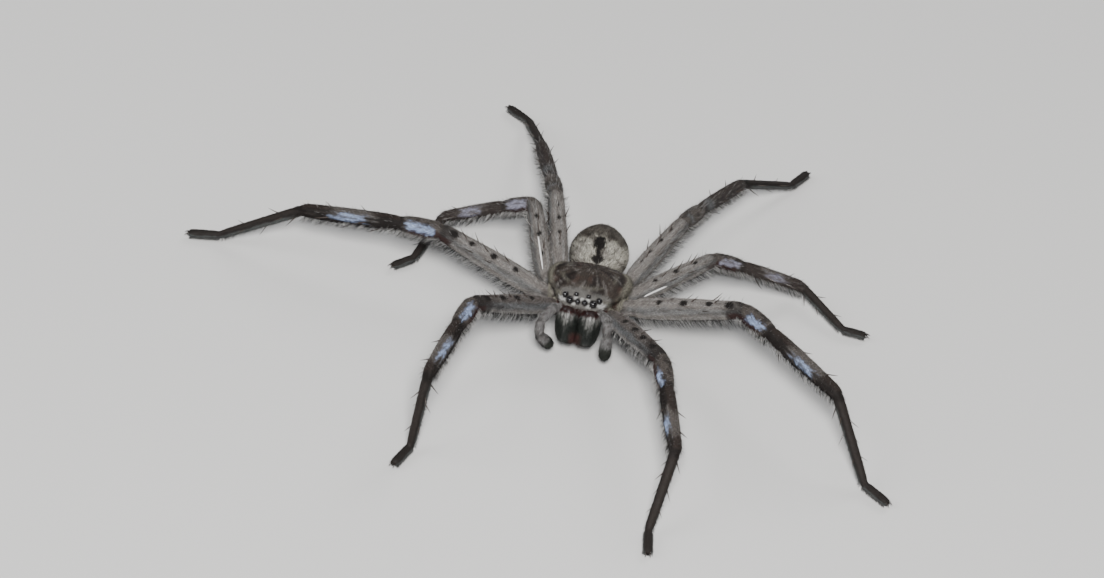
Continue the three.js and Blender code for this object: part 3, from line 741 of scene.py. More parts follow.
# %% Stretch the segments between the joints
flesh = []
for name, joints in (LEG_JOINTS | PALP_JOINTS).items():
    keys, radii = ((SEGMENTS, radii_of(name)) if name in LEG_JOINTS
                   else (PALP_SEGMENTS, PALP_RADII))
    for start, end, key, radius in zip(joints, joints[1:], keys, radii):
        matrix = between(start, end, (radius - COAT_DEPTH) * MM)
        flesh.append(place_copy(units[key], matrix))
print("limb pieces:", len(flesh))

# %% [markdown]
# The carapace is one low shield, as wide as it is long, with a narrower raised head in front.
# The belly plate lies under it between the hips, and the abdomen is a soft oval behind a waist.

# %% Carapace, belly plate, abdomen and spinnerets
CARAPACE = (  # y, half width, crown height
    (-8.05, 2.4, 1.6), (-7.95, 3.0, 2.3), (-7.5, 3.6, 3.3), (-6.9, 3.95, 3.9), (-6.0, 4.3, 4.25),
    (-4.8, 4.9, 4.55), (-3.4, 5.9, 4.75), (-1.8, 6.8, 4.95), (-0.2, 7.3, 4.8), (1.6, 7.4, 4.45),
    (3.2, 7.0, 3.85), (4.6, 6.2, 3.1), (5.6, 5.0, 2.4), (6.4, 3.8, 1.75), (6.95, 2.6, 1.25),
    (7.2, 1.5, 0.9))
CARAPACE_RIM, RIM_HEIGHT, RIM_SPREAD = 0.5, 1.2, 0.16
BELLY_PLATE = (  # y, half width, half height
    (-5.4, 0.8, 0.8), (-5.0, 2.0, 1.5), (-4.0, 3.0, 1.75), (-2.2, 3.6, 1.85), (0.0, 3.75, 1.9),
    (2.2, 3.5, 1.85), (4.2, 2.6, 1.7), (5.2, 1.6, 1.3), (5.6, 0.8, 0.7))
BELLY_LIFT = -1.0
ABDOMEN_RINGS = (  # y, half width, half height
    (0.15, 1.3, 1.1), (0.4, 2.3, 1.9), (1.1, 3.7, 2.9), (2.2, 4.6, 3.5), (3.6, 5.1, 3.95),
    (5.2, 5.3, 4.1), (6.8, 5.2, 4.0), (8.3, 4.8, 3.75), (9.7, 4.1, 3.3), (10.9, 3.3, 2.7),
    (11.9, 2.3, 2.0), (12.5, 1.5, 1.4), (12.75, 0.8, 0.8))
SPINNERET = ((-0.8, 0.42), (0.0, 0.48), (0.7, 0.42), (1.05, 0.34), (1.3, 0.28), (1.45, 0.15))
SPINNERET_Y = 12.6
SPINNERET_PLACES = ((0.55, -0.75, 8), (-0.55, -0.75, -8), (0.45, 0.3, 7), (-0.45, 0.3, -7))


def carapace_rings():
    for y, wide, crown in CARAPACE:
        wide, crown = wide - COAT_DEPTH, crown - COAT_DEPTH
        yield y, wide, (crown + CARAPACE_RIM) / 2, (crown - CARAPACE_RIM) / 2


shield = extruded_body("shield", 40, carapace_rings(), MM)
for vertex in shield.data.vertices:
    # The rim is widest low down, so the lower part of every ring spreads outwards
    height = vertex.co.z / MM
    if height < RIM_HEIGHT:
        vertex.co.x *= 1 + RIM_SPREAD * (RIM_HEIGHT - max(height, 0)) / RIM_HEIGHT
plate = extruded_body("belly_plate", 20, [(*ring, BELLY_LIFT) for ring in BELLY_PLATE], MM)
belly = extruded_body("abdomen_oval", 36, [
    (y, wide - COAT_DEPTH, high - COAT_DEPTH) for y, wide, high in ABDOMEN_RINGS], MM)
waist = extruded_body("waist", 16, [(y, 0.8, 0.7, -0.2) for y in (-1.6, -0.6, 0.6, 2.0)], MM)
spinneret = extruded_body("spinneret", 12, SPINNERET, MM)
for x, z, splay in SPINNERET_PLACES:
    flesh.append(place_copy(spinneret, (
        ABDOMEN_AXES @ Matrix.Translation(Vector((x, SPINNERET_Y, z)) * MM)
        @ Matrix.Rotation(math.radians(-splay), 4, "Z"))))
for body, axes in ((shield, BODY_AXES), (plate, BODY_AXES), (belly, ABDOMEN_AXES),
                   (waist, ABDOMEN_AXES)):
    body.data.transform(axes)
    flesh.append(body)
for body in (spinneret, *units.values()):
    bpy.data.objects.remove(body)

# %% [markdown]
# Joined and remeshed, the pieces melt into one skin with no seam. A voxel of a little over a
# quarter of a millimetre keeps the waisted joints. A little smoothing takes the steps of the grid
# away.

# %% One skin
skin = join_bodies(flesh, "spider_skin")
fuse(skin, 0.278 * MM, iterations=5)
print("skin:", len(skin.data.vertices), "vertices")


def read(items, key, width, kind=float):
    """One property of many mesh items as an array."""
    values = np.empty(len(items) * width, kind)
    items.foreach_get(key, values)
    return values.reshape(-1, width)


# %% [markdown]
# The remeshed skin gets the small forms that only show up close: the short groove in the middle
# of the carapace with faint furrows that run out from it, the step between head and shield, and
# dimples over the muscles of the abdomen. The feet are pressed flat on the floor.

# %% Furrows, dimples and flat soles
FURROW_DEPTH, STEP_DEPTH, GROOVE_DEPTH, DIMPLE_DEPTH = 0.16, 0.22, 0.35, 0.14
DIMPLES = ((3.4, 1.0), (5.2, 1.35), (7.2, 1.2))
SOLE_HEIGHT = 0.05


def carve(points):
    x, y, z = (to_axes(points, BODY_AXES) / MM).T
    on_top = rise(z, 1.2, 2.2) * (np.abs(y) < 8)
    groove = np.exp(-(x / 0.28) ** 2) * band(y, 1.0, 3.4, 0.5)
    angle, reach = np.degrees(np.arctan2(x, y - FOVEA_Y)), np.hypot(x, y - FOVEA_Y)
    furrow = rise(np.cos(np.radians(angle * 8)), 0.55, 1.0) * band(reach, 1.6, 5.2, 0.8)
    head = np.exp(-((np.abs(x) - 0.5 * (y + 9.6)) / 0.5) ** 2) * band(y, -6.0, -1.0, 0.8)
    down = on_top * (GROOVE_DEPTH * groove + FURROW_DEPTH * furrow + STEP_DEPTH * head)
    x, y, z = (to_axes(points, ABDOMEN_AXES) / MM).T
    for place, side in DIMPLES:
        away = np.hypot(np.abs(x) - side, y - place)
        down += DIMPLE_DEPTH * np.exp(-(away / 0.3) ** 2) * (z > 1.0) * (y > 0.5)
    carved = points.copy()
    carved[:, 2] = np.maximum(carved[:, 2] - down * MM, SOLE_HEIGHT * MM)
    return carved


skin.data.vertices.foreach_set("co", carve(read(skin.data.vertices, "co", 3)).ravel())
skin.data.update()

# %% Paint and dress the skin
# The skin under the coat is painted darker than the hair: painted shade between the hairs
UNDERCOAT_SHADE = 0.62


def store_colours(mesh, colours):
    layer = mesh.color_attributes.new("coat_tone", "FLOAT_COLOR", "POINT")
    full = np.column_stack((colours, np.ones(len(colours))))
    layer.data.foreach_set("color", full.ravel().astype(np.float32))


def skin_wires(tree):
    grain = noise(tree, 2600, 4)
    return {"Base Color": mix_colours(tree, grain * 0.5, coat_tone(tree), (0.02, 0.015, 0.012)),
            "Roughness": 0.62 + grain * 0.25,
            "Normal": bump(tree, grain + noise(tree, 5200, 2) * 0.5, 0.5, 0.06 * MM)}


store_colours(skin.data, paint(read(skin.data.vertices, "co", 3))[0] * UNDERCOAT_SHADE)
soft_nodes = ["cephalothorax", "abdomen", "spinnerets", "pedipalp_left", "pedipalp_right"]
soft_nodes += [f"leg_{name}_{part}" for name in POSE for part in ("femur", "tibia", "foot")]
dress(skin, new_material("spider_skin", skin_wires, Specular_IOR_Level=0.35, IOR=1.45),
      soft_nodes)

# %% [markdown]
# ## The coat
# Short hair lies along the body and the legs and points to the feet. Each hair is a thin closed
# spike rooted just under the skin. They are made by the hundred thousand, so their corners are
# worked out as arrays and each limb's hair is one mesh. A UV map called OFBake gives every hair a
# small patch at its root's place on a plain unrolling of the limb.

# %% Strands as one mesh
UV_PATCH = 0.003
LOWEST_HAIR = 0.02 * MM


def strands(name, roots, ways, ends, lengths, widths, colours, uv, segments=1, tip_tone=1.25):
    """Closed three-sided hairs. A hair leaves along `ways` and bends towards `ends`."""
    side = np.cross(ways, ends)
    thin = np.linalg.norm(side, axis=1) < 1e-6
    side[thin] = np.cross(ways[thin], (0.31, 0.52, 0.79))
    side = unit(side)
    lift = np.cross(side, ways)
    rings = []
    for k in range(segments):
        share = k / segments
        middle = roots + lengths[:, None] * (ways * share + (ends - ways) * share * share / 2)
        radius = (widths * (1 - 0.75 * share) / 2)[:, None]
        rings += [middle + radius * (math.cos(turn) * side + math.sin(turn) * lift)
                  for turn in np.radians((90, 210, 330))]
    corners = np.stack([*rings, roots + lengths[:, None] * (ways + ends) / 2], axis=1)
    corners[:, :, 2] = np.maximum(corners[:, :, 2], LOWEST_HAIR)
    per = corners.shape[1]
    faces = [(0, 1, 2)]
    for k in range(segments):
        for a, b in ((3 * k, 3 * k + 1), (3 * k + 1, 3 * k + 2), (3 * k + 2, 3 * k)):
            faces += ([(a, per - 1, b)] if k == segments - 1
                      else [(a, a + 3, b), (b, a + 3, b + 3)])
    # The faces are turned round if they look inwards on the first hair
    first = corners[0]
    volume = sum(np.dot(np.cross(first[b] - first[a], first[c] - first[a]),
                        (first[a] + first[b] + first[c]) / 3 - first.mean(0))
                 for a, b, c in faces)
    faces = np.array(faces)[:, ::1 if volume >= 0 else -1]
    loops = (faces[None] + per * np.arange(len(roots))[:, None, None]).reshape(-1)
    total = len(loops) // 3
    mesh = bpy.data.meshes.new(name)
    mesh.vertices.add(len(roots) * per)
    mesh.vertices.foreach_set("co", corners.reshape(-1))
    mesh.loops.add(len(loops))
    mesh.loops.foreach_set("vertex_index", loops.astype(np.int32))
    mesh.polygons.add(total)
    mesh.polygons.foreach_set("loop_start", np.arange(total, dtype=np.int32) * 3)
    mesh.polygons.foreach_set("loop_total", np.full(total, 3, np.int32))
    mesh.update(calc_edges=True)
    mesh.validate()
    tone = np.repeat(colours[:, None, :], per, axis=1)
    tone[:, -1] = np.minimum(tone[:, -1] * tip_tone, 1)
    store_colours(mesh, tone.reshape(-1, 3))
    spread = np.random.default_rng(5).uniform(-UV_PATCH / 2, UV_PATCH / 2, (per, 2))
    spread[-1] = (0, UV_PATCH / 2)
    corner_uv = (uv[:, None, :] + spread[None]).reshape(-1, 2)[loops]
    layer = mesh.uv_layers.new(name="OFBake")
    layer.data.foreach_set("uv", np.clip(corner_uv, 0, 1).reshape(-1).astype(np.float32))
    body = bpy.data.objects.new(name, mesh)
    bpy.context.scene.collection.objects.link(body)
    return body


# %% Scatter roots over the skin
HAIRS_PER_MM2 = 52


def surface_samples(body, seed, count=None):
    """Random points on a mesh with their normals, spread evenly by area."""
    mesh = body.data
    mesh.calc_loop_triangles()
    corners = read(mesh.loop_triangles, "vertices", 3, np.int64)
    points, normals = (read(mesh.vertices, key, 3) for key in ("co", "normal"))
    a, b, c = (points[corners[:, i]] for i in range(3))
    area = np.linalg.norm(np.cross(b - a, c - a), axis=1)
    count = count or int(HAIRS_PER_MM2 * (area.sum() / 2) / MM ** 2)
    rng = np.random.default_rng(seed)
    pick = rng.choice(len(corners), count, p=area / area.sum())
    u, v = rng.random(count), rng.random(count)
    over = u + v > 1
    u[over], v[over] = 1 - u[over], 1 - v[over]
    weights = np.column_stack((1 - u - v, u, v))
    spots, facing = (np.einsum("nk,nkd->nd", weights, values[corners[pick]])
                     for values in (points, normals))
    return spots, unit(facing)


roots, facing = surface_samples(skin, 2)
coat_colour, coat_region, coat_step, coat_angle, coat_along = paint(roots)
print("hairs", len(roots))

# %% [markdown]
# Hair length and lie differ over the body. It is shortest on the face and feet, longer and
# looser on the abdomen and along the edge of the carapace. The bare red-brown patch under each
# knee keeps almost none, and the eyes keep clear.

# %% Length, lie and colour of the short hair
HAIR_MM = {"leg": 0.62, "other": 0.6, "foot": 0.45, "abdomen": 0.75, "face": 0.4, "rim": 1.0,
           "eye": 0.22}
FACE_Y, RIM_SIZE, RIM_START, EYE_REACH = -5.5, (7.4, 7.8), 0.9, 2.2
FLOW_SCATTER = 0.22
# A few hairs are much paler and a few much darker: their share and tone
ODD_HAIRS = ((0.06, 1.6), (0.1, 0.45))
rng = np.random.default_rng(7)
count = len(roots)
on_leg = coat_region < FIRST_PALP
on_palp = (coat_region >= FIRST_PALP) & (coat_region < THORAX)
on_thorax, on_abdomen = coat_region == THORAX, coat_region == ABDOMEN
local_body = to_axes(roots, BODY_AXES) / MM
on_rim = on_thorax & (np.hypot(*(local_body[:, :2] / RIM_SIZE).T) > RIM_START)
eye_gap = np.min([ball_distance(local_body, *eye) for eye in EYES.values()], axis=0)
hair_length = np.where(on_leg, HAIR_MM["leg"], HAIR_MM["other"])
for key, place in (("foot", on_leg & (coat_step > 3)), ("abdomen", on_abdomen),
                   ("face", on_thorax & (local_body[:, 1] < FACE_Y)), ("rim", on_rim),
                   ("eye", eye_gap < EYE_REACH)):
    hair_length[place] = HAIR_MM[key]


def flatten(ways, normals):
    return ways - normals * np.einsum("nd,nd->n", ways, normals)[:, None]


flow = flatten(coat_along, facing)
flow = unit(flatten(flow + rng.normal(scale=FLOW_SCATTER, size=flow.shape), facing))
hair_length *= rng.uniform(0.65, 1.3, count) * MM
stand = np.where(on_abdomen, 0.42, 0.30) + np.where(on_rim, 0.35, 0)
stand = (stand * rng.uniform(0.6, 1.5, count))[:, None]
hair_way, hair_end = unit(flow + facing * (stand + 0.25)), unit(flow + facing * (stand * 0.5))
hair_width = np.where(on_abdomen, 0.07, 0.06) * rng.uniform(0.8, 1.2, count) * MM
shade = rng.uniform(0.7, 1.35, count)
for share, tone in ODD_HAIRS:
    shade *= np.where(rng.random(count) < share, tone, 1)
hair_colour = np.clip(coat_colour * shade[:, None], 0, 0.95)


def unrolled(region, step, angle):
    """Root places on an unwrap: along the limb one way, round it the other."""
    along = np.where(region >= THORAX, step, (step + 1) / 6.0)
    return np.column_stack((0.02 + 0.96 * np.clip(along, 0, 1), 0.02 + 0.96 * (angle + 180) / 360))


hair_uv = unrolled(coat_region, coat_step, coat_angle)

# %% Places with no hair
EYE_MARGIN = 1.28
BARE_SHARE, BARE_STEPS, BARE_ANGLES = 0.85, (0.85, 1.05), (-70, 20)
FOURTH_LEGS = 3  # the remainder of their region codes, which count four legs to a side


def inside(values, low, high):
    return (values > low) & (values < high)


knee_patch = on_leg & inside(coat_step, *BARE_STEPS) & inside(coat_angle, *BARE_ANGLES)
knee_patch &= coat_region % 4 != FOURTH_LEGS
keep = (roots[:, 2] > 0.12 * MM) & (eye_gap > EYE_MARGIN)
keep &= ~(knee_patch & (rng.random(count) < BARE_SHARE))
print("hairs left out:", int((~keep).sum()))


# %% Grow the short hair, one mesh per limb
def coat_material(name, roughness, shine):
    def wires(tree):
        patchy = node(tree, "ShaderNodeCombineXYZ", {}, [noise(tree, 900, 3) * 0.9 + 0.55] * 3)
        return {"Base Color": mix_colours(tree, 1.0, coat_tone(tree), patchy, "MULTIPLY")}

    return new_material(name, wires, Specular_IOR_Level=shine, IOR=1.5, Roughness=roughness)


ROOT_DEPTH = 0.05
coat_look = coat_material("short_hair", 0.6, 0.22)
groups = [(f"coat_leg_{name}", coat_region == i, "femora") for i, name in enumerate(POSE)]
groups += [("coat_palps", on_palp, "palps"), ("coat_carapace", on_thorax, "carapace"),
           ("coat_abdomen", on_abdomen, "abdomen")]
for name, mine, slot in groups:
    mine = mine & keep
    sunk = roots[mine] - facing[mine] * (ROOT_DEPTH * MM)
    coat = strands(name, sunk, hair_way[mine], hair_end[mine], hair_length[mine],
                   hair_width[mine], hair_colour[mine], hair_uv[mine])
    dress(coat, coat_look, slot=slot)
    print(name, len(coat.data.polygons), "faces")

# %% [markdown]
# ## Long bristles
# Fine pale bristles hang from the lower edges of each thigh and shin, dark ones fill the
# underside, a few stand up all over the legs, and a dense short brush lines the feet. They are
# what gives the spider its fringe against the light.

# %% Bristle fringes
# Kind: number per leg, steps, middle angle and spread, lengths in mm, greys, droop
FRINGES = {
    "front_edge": (330, (0.04, 2.98), (-26, 10), (1.4, 2.7), (0.15, 0.7), 0.05),
    "back_edge": (260, (0.04, 2.98), (206, 10), (1.1, 2.1), (0.12, 0.5), 0.05),
    "front_fringe": (1500, (0.0, 3.0), (-48, 14), (1.4, 2.5), (0.004, 0.03), 0.15),
    "back_fringe": (800, (0.0, 3.0), (-132, 14), (1.1, 2.0), (0.004, 0.03), 0.15),
    "underside": (400, (0.0, 3.0), (-90, 25), (0.6, 1.1), (0.01, 0.04), 0.0),
    "standing": (260, (0.05, 3.0), (88, 60), (0.7, 1.6), (0.03, 0.4), -0.1),
    "front_brush": (620, (3.03, 4.96), (-28, 16), (0.36, 0.7), (0.03, 0.12), 0.45),
    "back_brush": (460, (3.03, 4.96), (208, 16), (0.36, 0.7), (0.03, 0.12), 0.45),
}
BRISTLE_WIDTH = (0.045, 0.068)
BRISTLE_TINT = (1.0, 0.97, 0.93)
SHIN_SHARE = 0.72  # bristles of knee and shin against those of the thigh
BRISTLE_DEPTH = COAT_DEPTH + 0.15


def leg_bristles(name, seed):
    """Every long hair of one leg, as arrays for strands()."""
    rng = np.random.default_rng(seed)
    joints, radii = LEG_JOINTS[name], radii_of(name)
    parts = []
    for count, steps, (middle, spread), sizes, greys, droop in FRINGES.values():
        step = rng.uniform(*steps, count)
        angle = rng.normal(middle, spread, count)
        grey = rng.uniform(*greys, count)
        length = rng.uniform(*sizes, count) * np.where((step > 1) & (step < 3), SHIN_SHARE, 1.0)
        for number in range(5):
            mine = (step >= number) & (step < number + 1)
            line = joints[number + 2] - joints[number + 1]
            along = unit(line)
            out = outward(along, side_of(name), angle[mine][:, None])
            root = (joints[number + 1] + line * (step[mine] - number)[:, None]
                    + out * (radii[number + 1] - BRISTLE_DEPTH) * MM)
            jitter = rng.normal(scale=0.12, size=(mine.sum(), 3))
            lean = rng.uniform(0.25, 0.75, mine.sum())[:, None]
            drop = side_and_up(along)[1] * droop
            way = unit(out - drop + along * lean + jitter)
            end = unit(out * 0.8 - drop * 1.3 + along * (lean + 0.5) + jitter)
            wrapped = (angle[mine] + 180) % 360 - 180
            width = rng.uniform(*BRISTLE_WIDTH, mine.sum()) * MM
            parts.append((root, way, end, length[mine] * MM, width,
                          grey[mine][:, None] * BRISTLE_TINT, unrolled(0, step[mine], wrapped)))
    return [np.concatenate(column) for column in zip(*parts)]


bristle_look = coat_material("bristle", 0.35, 0.5)
for seed, name in enumerate(LEG_JOINTS, start=17):
    bristles = strands(f"bristles_leg_{name}", *leg_bristles(name, seed), segments=2,
                       tip_tone=1.1)
    dress(bristles, bristle_look)
print("faces of the last fringe:", len(bristles.data.polygons))

# %% [markdown]
# A short bare strip lies on top of each third thigh, near the body: a smooth line with no hair.
# Its near-white colour is a painted highlight, the glint of light on that smooth line.

# %% Bare strips with painted glints on the third thighs
# Angle round the thigh and share along it where the strip starts and stops
GLINT_STRIPS = {"left_3": (20, 0.06, 0.36), "right_3": (74, 0.04, 0.5)}
GLINT_STRIP_RADIUS = 0.17


def horn_material(name, dark, light, roughness):
    def wires(tree):
        return {"Base Color": mix_colours(tree, noise(tree, 700, 3), dark, light),
                "Normal": bump(tree, noise(tree, 3000, 2), 0.15, 0.03 * MM)}

    return new_material(name, wires, Roughness=roughness, Coat_Weight=0.4, Coat_Roughness=0.15)


def painted_glint_strip(name, angle, first, last):
    line = LEG_JOINTS[name][2] - LEG_JOINTS[name][1]
    out = outward(unit(line), side_of(name), angle) * (radii_of(name)[1] - 0.05) * MM
    start, stop = (LEG_JOINTS[name][1] + line * share + out for share in (first, last))
    body = bent_body(f"streak_{name}", 10, (
        (0.0, 0.1, -0.6), (0.04, 0.5, -0.3), (0.14, 0.8, 0.0), (0.5, 1.0, 0.1), (0.86, 0.8, 0.0),
        (0.96, 0.5, -0.3), (1.0, 0.1, -0.6)))
    body.data.transform(between(start, stop, GLINT_STRIP_RADIUS * MM))
    return body


glint_strips = join_bodies([painted_glint_strip(name, *place) for name, place in GLINT_STRIPS.items()], "painted_glint_strips")
# The near-white colour of the strips is a painted highlight
dress(smooth(glint_strips, 80), horn_material("painted_glint_strip", (0.85, 0.83, 0.8), (0.7, 0.69, 0.68), 0.2))

# %% [markdown]
# ## Spines and claws
# The stout dark spines on thigh, shin and foot can be raised by a living spider. One spine is
# modelled as a slightly bent cone and copied to every place.

# %% One spine, copied
# Segment: share along it, angle round it and length in millimetres of every spine
SPINE_PLACES = {
    1: ((0.3, 92, 2.3), (0.52, 88, 2.5), (0.74, 92, 2.2), (0.42, 35, 2.3), (0.66, 30, 2.2),
        (0.44, 148, 2.2), (0.68, 150, 2.2)),
    3: ((0.2, -48, 2.9), (0.2, -132, 2.9), (0.48, -50, 2.9), (0.48, -130, 2.9), (0.78, -55, 2.2),
        (0.78, -125, 2.2), (0.36, 12, 2.5), (0.72, 14, 2.4), (0.36, 168, 2.5), (0.72, 166, 2.4)),
    4: ((0.1, -40, 2.6), (0.1, -140, 2.6), (0.42, -30, 2.3), (0.42, -150, 2.3), (0.26, 28, 2.2),
        (0.26, 152, 2.2), (0.7, 20, 1.8), (0.7, 160, 1.8)),
}
SPINE_DEPTH = COAT_DEPTH + 0.25
spine = bent_body("spine", 8, (
    (0.0, 0.052, 0.0), (0.06, 0.05, 0.0), (0.12, 0.044, 0.0), (0.35, 0.040, 0.006),
    (0.6, 0.030, 0.02), (0.82, 0.018, 0.045), (0.95, 0.009, 0.065), (1.0, 0.004, 0.075)))


def leg_spines(seed=23):
    rng = np.random.default_rng(seed)
    for name, joints in LEG_JOINTS.items():
        for part, places in SPINE_PLACES.items():
            line = joints[part + 1] - joints[part]
            along = unit(line)
            for share, angle, length in places:
                out = outward(along, side_of(name), angle + rng.uniform(-8, 8))
                root = joints[part] + line * (share + rng.uniform(-0.03, 0.03))
                root = root + out * (radii_of(name)[part] - SPINE_DEPTH) * MM
                lean = math.radians(rng.uniform(26, 42))
                way = along * math.cos(lean) + out * math.sin(lean)
                size = (length + rng.uniform(-0.2, 0.3)) * MM
                if (root + way * size)[2] > 0.3 * MM:
                    yield place_copy(spine, aimed(root, way, size))


spines = join_bodies(list(leg_spines()), "leg_spines")
bpy.data.objects.remove(spine)
dress(smooth(spines), horn_material("spine_horn", (0.012, 0.007, 0.005), (0.05, 0.03, 0.02), 0.3),
      slot="fangs")

# %% Claws, two on every foot
claw = bent_body("claw", 10, (
    (0.0, 0.17, 0.0), (0.2, 0.16, 0.05), (0.4, 0.13, 0.06), (0.6, 0.10, 0.03), (0.78, 0.07, -0.06),
    (0.92, 0.04, -0.19), (1.0, 0.015, -0.3)))
CLAW_LENGTH, CLAW_BACK, CLAW_APART, CLAW_LIFT, CLAW_SPLAY = 1.05, 0.25, 0.3, 0.1, 0.12
claws = []
for joints in LEG_JOINTS.values():
    flat = unit((joints[-1] - joints[-2]) * (1, 1, 0))
    side = np.cross(flat, UP)
    for sign in (1, -1):
        root = joints[-1] + (side * sign * CLAW_APART - flat * CLAW_BACK + UP * CLAW_LIFT) * MM
        claws.append(place_copy(claw, aimed(root, flat + side * sign * CLAW_SPLAY,
                                            CLAW_LENGTH * MM)))
bpy.data.objects.remove(claw)
claws = join_bodies(claws, "claws")
dress(smooth(claws), horn_material("claw_horn", (0.01, 0.007, 0.006), (0.03, 0.02, 0.015), 0.25),
      slot="fangs")


# %% [markdown]
# ## Face
# Eight glossy black eyes stand in two rows on the front of the head. Each one is a ball sunk in
# the skin, and the skin round it is dark.

# %% Eyes
def eye_wires(tree):
    return {"Base Color": mix_colours(tree, noise(tree, 500, 1), (0.003, 0.003, 0.004),
                                      (0.008, 0.006, 0.006))}


eye_look = new_material("eye_gloss", eye_wires, Roughness=0.05, Specular_IOR_Level=0.6)
for name, (x, y, z, radius) in EYES.items():
    for side, sign in SIDES:
        bpy.ops.mesh.primitive_uv_sphere_add(segments=32, ring_count=20, radius=radius * MM,
                                             location=in_body(sign * x, y, z))
        eye = bpy.context.object
        eye.name = f"eyeball_{name}_{side}"
        bpy.ops.object.transform_apply(location=True, rotation=True, scale=True)
        bpy.ops.object.shade_smooth()
        dress(eye, eye_look, [f"eye_{name}_{side}"], slot="eyes")

# %% [markdown]
# The jaws are two stout domed cylinders that hang from the face. They are hard and glossy, dark
# green-black below, and silver hair covers their upper half. Each carries a folded fang.

# %% Jaws
JAW = {"x": 2.0, "top": (-7.2, 1.3), "tip": (-9.4, -4.9), "wide": 1.85, "deep": 1.9}
JAW_OUTLINE = ((-0.05, 0.3), (-0.02, 0.5), (0.03, 0.68), (0.1, 0.84), (0.2, 0.97), (0.34, 1.06),
               (0.5, 1.07), (0.66, 1.0), (0.8, 0.88), (0.91, 0.7), (0.97, 0.5), (1.0, 0.28))
JAW_COAT = 0.06
JAW_INNER = 1.04
JAW_SHELL_SHADE = 0.4


def jaw_frame(sign):
    top, tip = (in_body(sign * JAW["x"], *JAW[key]) for key in ("top", "tip"))
    return top, tip - top, np.cross(ACROSS_BODY, unit(tip - top))


def build_jaw(sign, name):
    top, along, up = jaw_frame(sign)
    body = extruded_body(name, 28, JAW_OUTLINE)
    for vertex in body.data.vertices:
        # The jaws lie against each other, so their inner sides reach further
        if vertex.co.x * sign < 0:
            vertex.co.x *= JAW_INNER
    wide, deep = ((JAW[key] - JAW_COAT) * MM for key in ("wide", "deep"))
    body.data.transform(placed((ACROSS_BODY * wide, along, up * deep), top))
    apply_modifier(body, "SUBSURF", levels=1, render_levels=1)
    return smooth(body, 80)


def jaw_wires(tree):
    grain = noise(tree, 1400, 3)
    return {"Base Color": mix_colours(tree, grain * 0.4, coat_tone(tree), (0.008, 0.009, 0.007)),
            "Roughness": 0.28 + grain * 0.2, "Normal": bump(tree, grain, 0.35, 0.05 * MM)}


def paint_jaw(points, sign):
    """Red-brown hinge, silver above, green-black below, a red inner edge at the bottom."""
    top, along, up = jaw_frame(sign)
    share = (points - top) @ along / np.linalg.norm(along) ** 2
    across = (points - top) @ ACROSS_BODY * sign / MM
    front = (points - top) @ up / MM
    fine = waves(points, 0.5 * MM, 51)
    stripes = flat_waves(across, share * 1.2, 0.3, 52)
    fade = (share + 0.05 * fine + 0.05 * stripes + 0.24 * np.abs(across - 0.1) - 0.06 * front)
    colour = painted(
        JAW_SILVER, (JAW_DARK, 0.45 * rise(stripes + 0.4 * fine, -0.2, 0.9)),
        (JAW_DARK, rise(fade, 0.2, 0.8)), (RED_BROWN, fall(share + 0.02 * fine, 0.10, 0.18)),
        (JAW_RED, 0.85 * rise(-across, 0.5, 1.3) * band(share, 0.66, 1.1, 0.06)))
    return colour, share, across


def grow_jaw_hair(jaw, sign, name):
    spots, normals = surface_samples(jaw, 60 + sign, 9000)
    colours, share, across = paint_jaw(spots, sign)
    count = len(spots)
    rng = np.random.default_rng(70 + sign)
    down = unit(jaw_frame(sign)[1])
    flow = down - normals * (normals @ down)[:, None] + rng.normal(scale=0.2, size=normals.shape)
    # The red hair of the lower inner edges reaches across the gap between the jaws
    inner = rise(-across, 0.3, 1.0) * band(share, 0.62, 1.0, 0.05)
    flow = flow - inner[:, None] * sign * ACROSS_BODY
    ways = unit(flow + normals * rng.uniform(0.3, 0.7, count)[:, None])
    ends = unit(flow + normals * 0.15)
    cover = (1 - 0.6 * rise(share, 0.3, 0.8)) * rise(share, 0.05, 0.1) + inner
    kept = rng.random(count) < cover
    lengths = rng.uniform(0.3, 0.7, count) * (1 + 0.8 * inner) * MM
    tones = np.clip(colours * rng.uniform(0.5, 1.7, count)[:, None] + 0.004, 0, 0.9)
    uv = np.column_stack((0.02 + 0.96 * np.clip(share, 0, 1), 0.5 + 0.22 * across / 2))
    return strands(name, *(column[kept] for column in (
        spots, ways, ends, lengths, np.full(count, 0.06 * MM), tones, uv)))


# %% Fangs
FANG = {"root_x": 2.4, "tip_x": 0.8, "y": -8.9, "back": 0.9, "z": -4.2, "drop": 1.8,
        "root": 0.56, "tip": 0.08, "taper": 1.3}


def fang_point(sign, share):
    turn = share * math.pi / 2
    x = FANG["tip_x"] + (FANG["root_x"] - FANG["tip_x"]) * math.cos(turn)
    return in_body(sign * x, FANG["y"] + FANG["back"] * share,
                   FANG["z"] - FANG["drop"] * math.sin(turn))


def build_fang(sign, name, steps=16):
    """A fang is drawn as short lengths that follow a quarter of an ellipse, then fused."""
    length = extruded_body("fang_length", 16, ((-0.3, 0.8), (0.0, 1), (1.0, 1), (1.3, 0.8)))
    lengths = []
    for i in range(steps):
        taper = ((i + 0.5) / steps) ** FANG["taper"]
        radius = (FANG["root"] + (FANG["tip"] - FANG["root"]) * taper) * MM
        ends = (fang_point(sign, i / steps), fang_point(sign, (i + 1) / steps))
        lengths.append(place_copy(length, between(*ends, radius)))
    bpy.data.objects.remove(length)
    fang = join_bodies(lengths, name)
    fuse(fang, 0.06 * MM, iterations=6)
    return fang


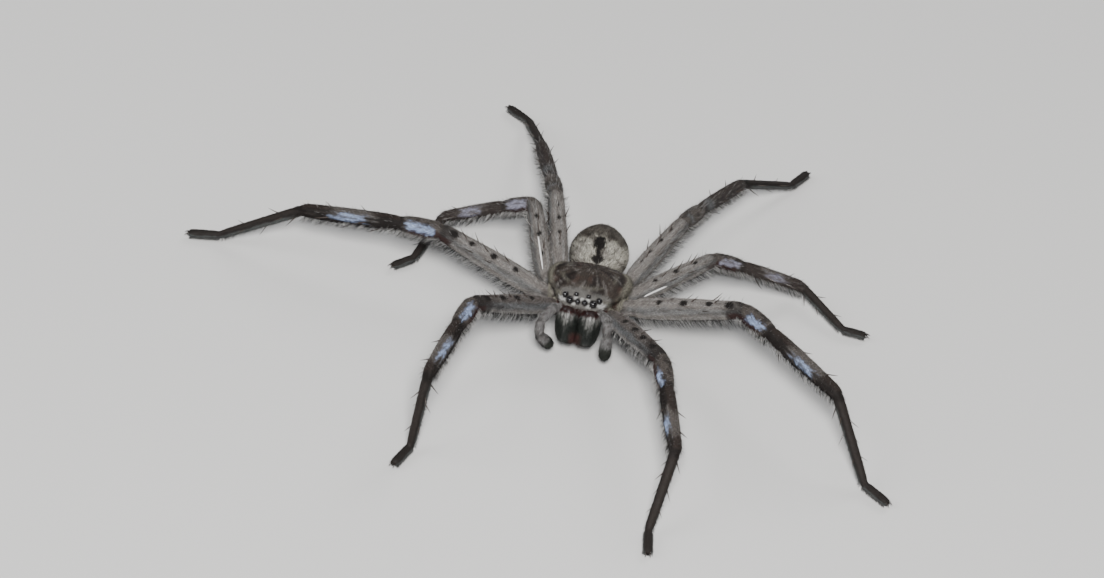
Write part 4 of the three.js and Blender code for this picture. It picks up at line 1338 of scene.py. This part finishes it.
# %% Build both sides of the face
jaw_look = new_material("jaw_shell", jaw_wires, Coat_Weight=0.25, Coat_Roughness=0.2,
                        Specular_IOR_Level=0.4)
fang_look = horn_material("fang_horn", (0.018, 0.004, 0.003), (0.06, 0.012, 0.007), 0.18)
jaws = {}
for side, sign in SIDES:
    jaws[side] = build_jaw(sign, f"jaw_{side}")
    shell = paint_jaw(read(jaws[side].data.vertices, "co", 3), sign)[0]
    store_colours(jaws[side].data, shell * JAW_SHELL_SHADE)
    dress(jaws[side], jaw_look, [f"chelicera_{side}"], slot="jaws")
for side, sign in SIDES:
    dress(build_fang(sign, f"fang_horn_{side}"), fang_look, [f"fang_{side}"], slot="fangs")
for side, sign in SIDES:
    dress(grow_jaw_hair(jaws[side], sign, f"jaw_hair_{side}"), coat_look, slot="jaws")


# %% [markdown]
# ## The studio
# A pale floor, one broad soft light from the front, as the flash in the photograph, and weaker
# ones from the sides.

# %% Floor and lights
def floor_wires(tree):
    return {"Base Color": mix_colours(tree, noise(tree, 6, 2), (0.66, 0.65, 0.63),
                                      (0.70, 0.69, 0.67))}


bpy.ops.mesh.primitive_plane_add(size=3.0, location=(0, 0, -0.02 * MM))
floor = bpy.context.object
floor.name = "studio_floor"
floor.data.materials.append(new_material("studio_floor", floor_wires, Roughness=0.7))


def soft_light(name, place, size, power, colour=(1, 1, 1)):
    data = bpy.data.lights.new(name, "AREA")
    data.size, data.energy, data.color = size, power, colour
    lamp = bpy.data.objects.new(name, data)
    lamp.location = place
    aim = Vector((0, 0, 0.004)) - Vector(place)
    lamp.rotation_euler = aim.to_track_quat("-Z", "Y").to_euler()
    bpy.context.scene.collection.objects.link(lamp)


soft_light("key", (0.12, -0.62, 0.70), 0.22, 13.0)
soft_light("fill", (-0.7, -0.2, 0.5), 0.6, 3.0, (0.96, 0.98, 1.0))
soft_light("rim", (0.3, 0.8, 0.6), 0.4, 3.0)
world = bpy.data.worlds.new("studio")
world.use_nodes = True
background = world.node_tree.nodes["Background"]
background.inputs["Color"].default_value = (0.9, 0.93, 1.0, 1.0)
background.inputs["Strength"].default_value = 0.2
bpy.context.scene.world = world
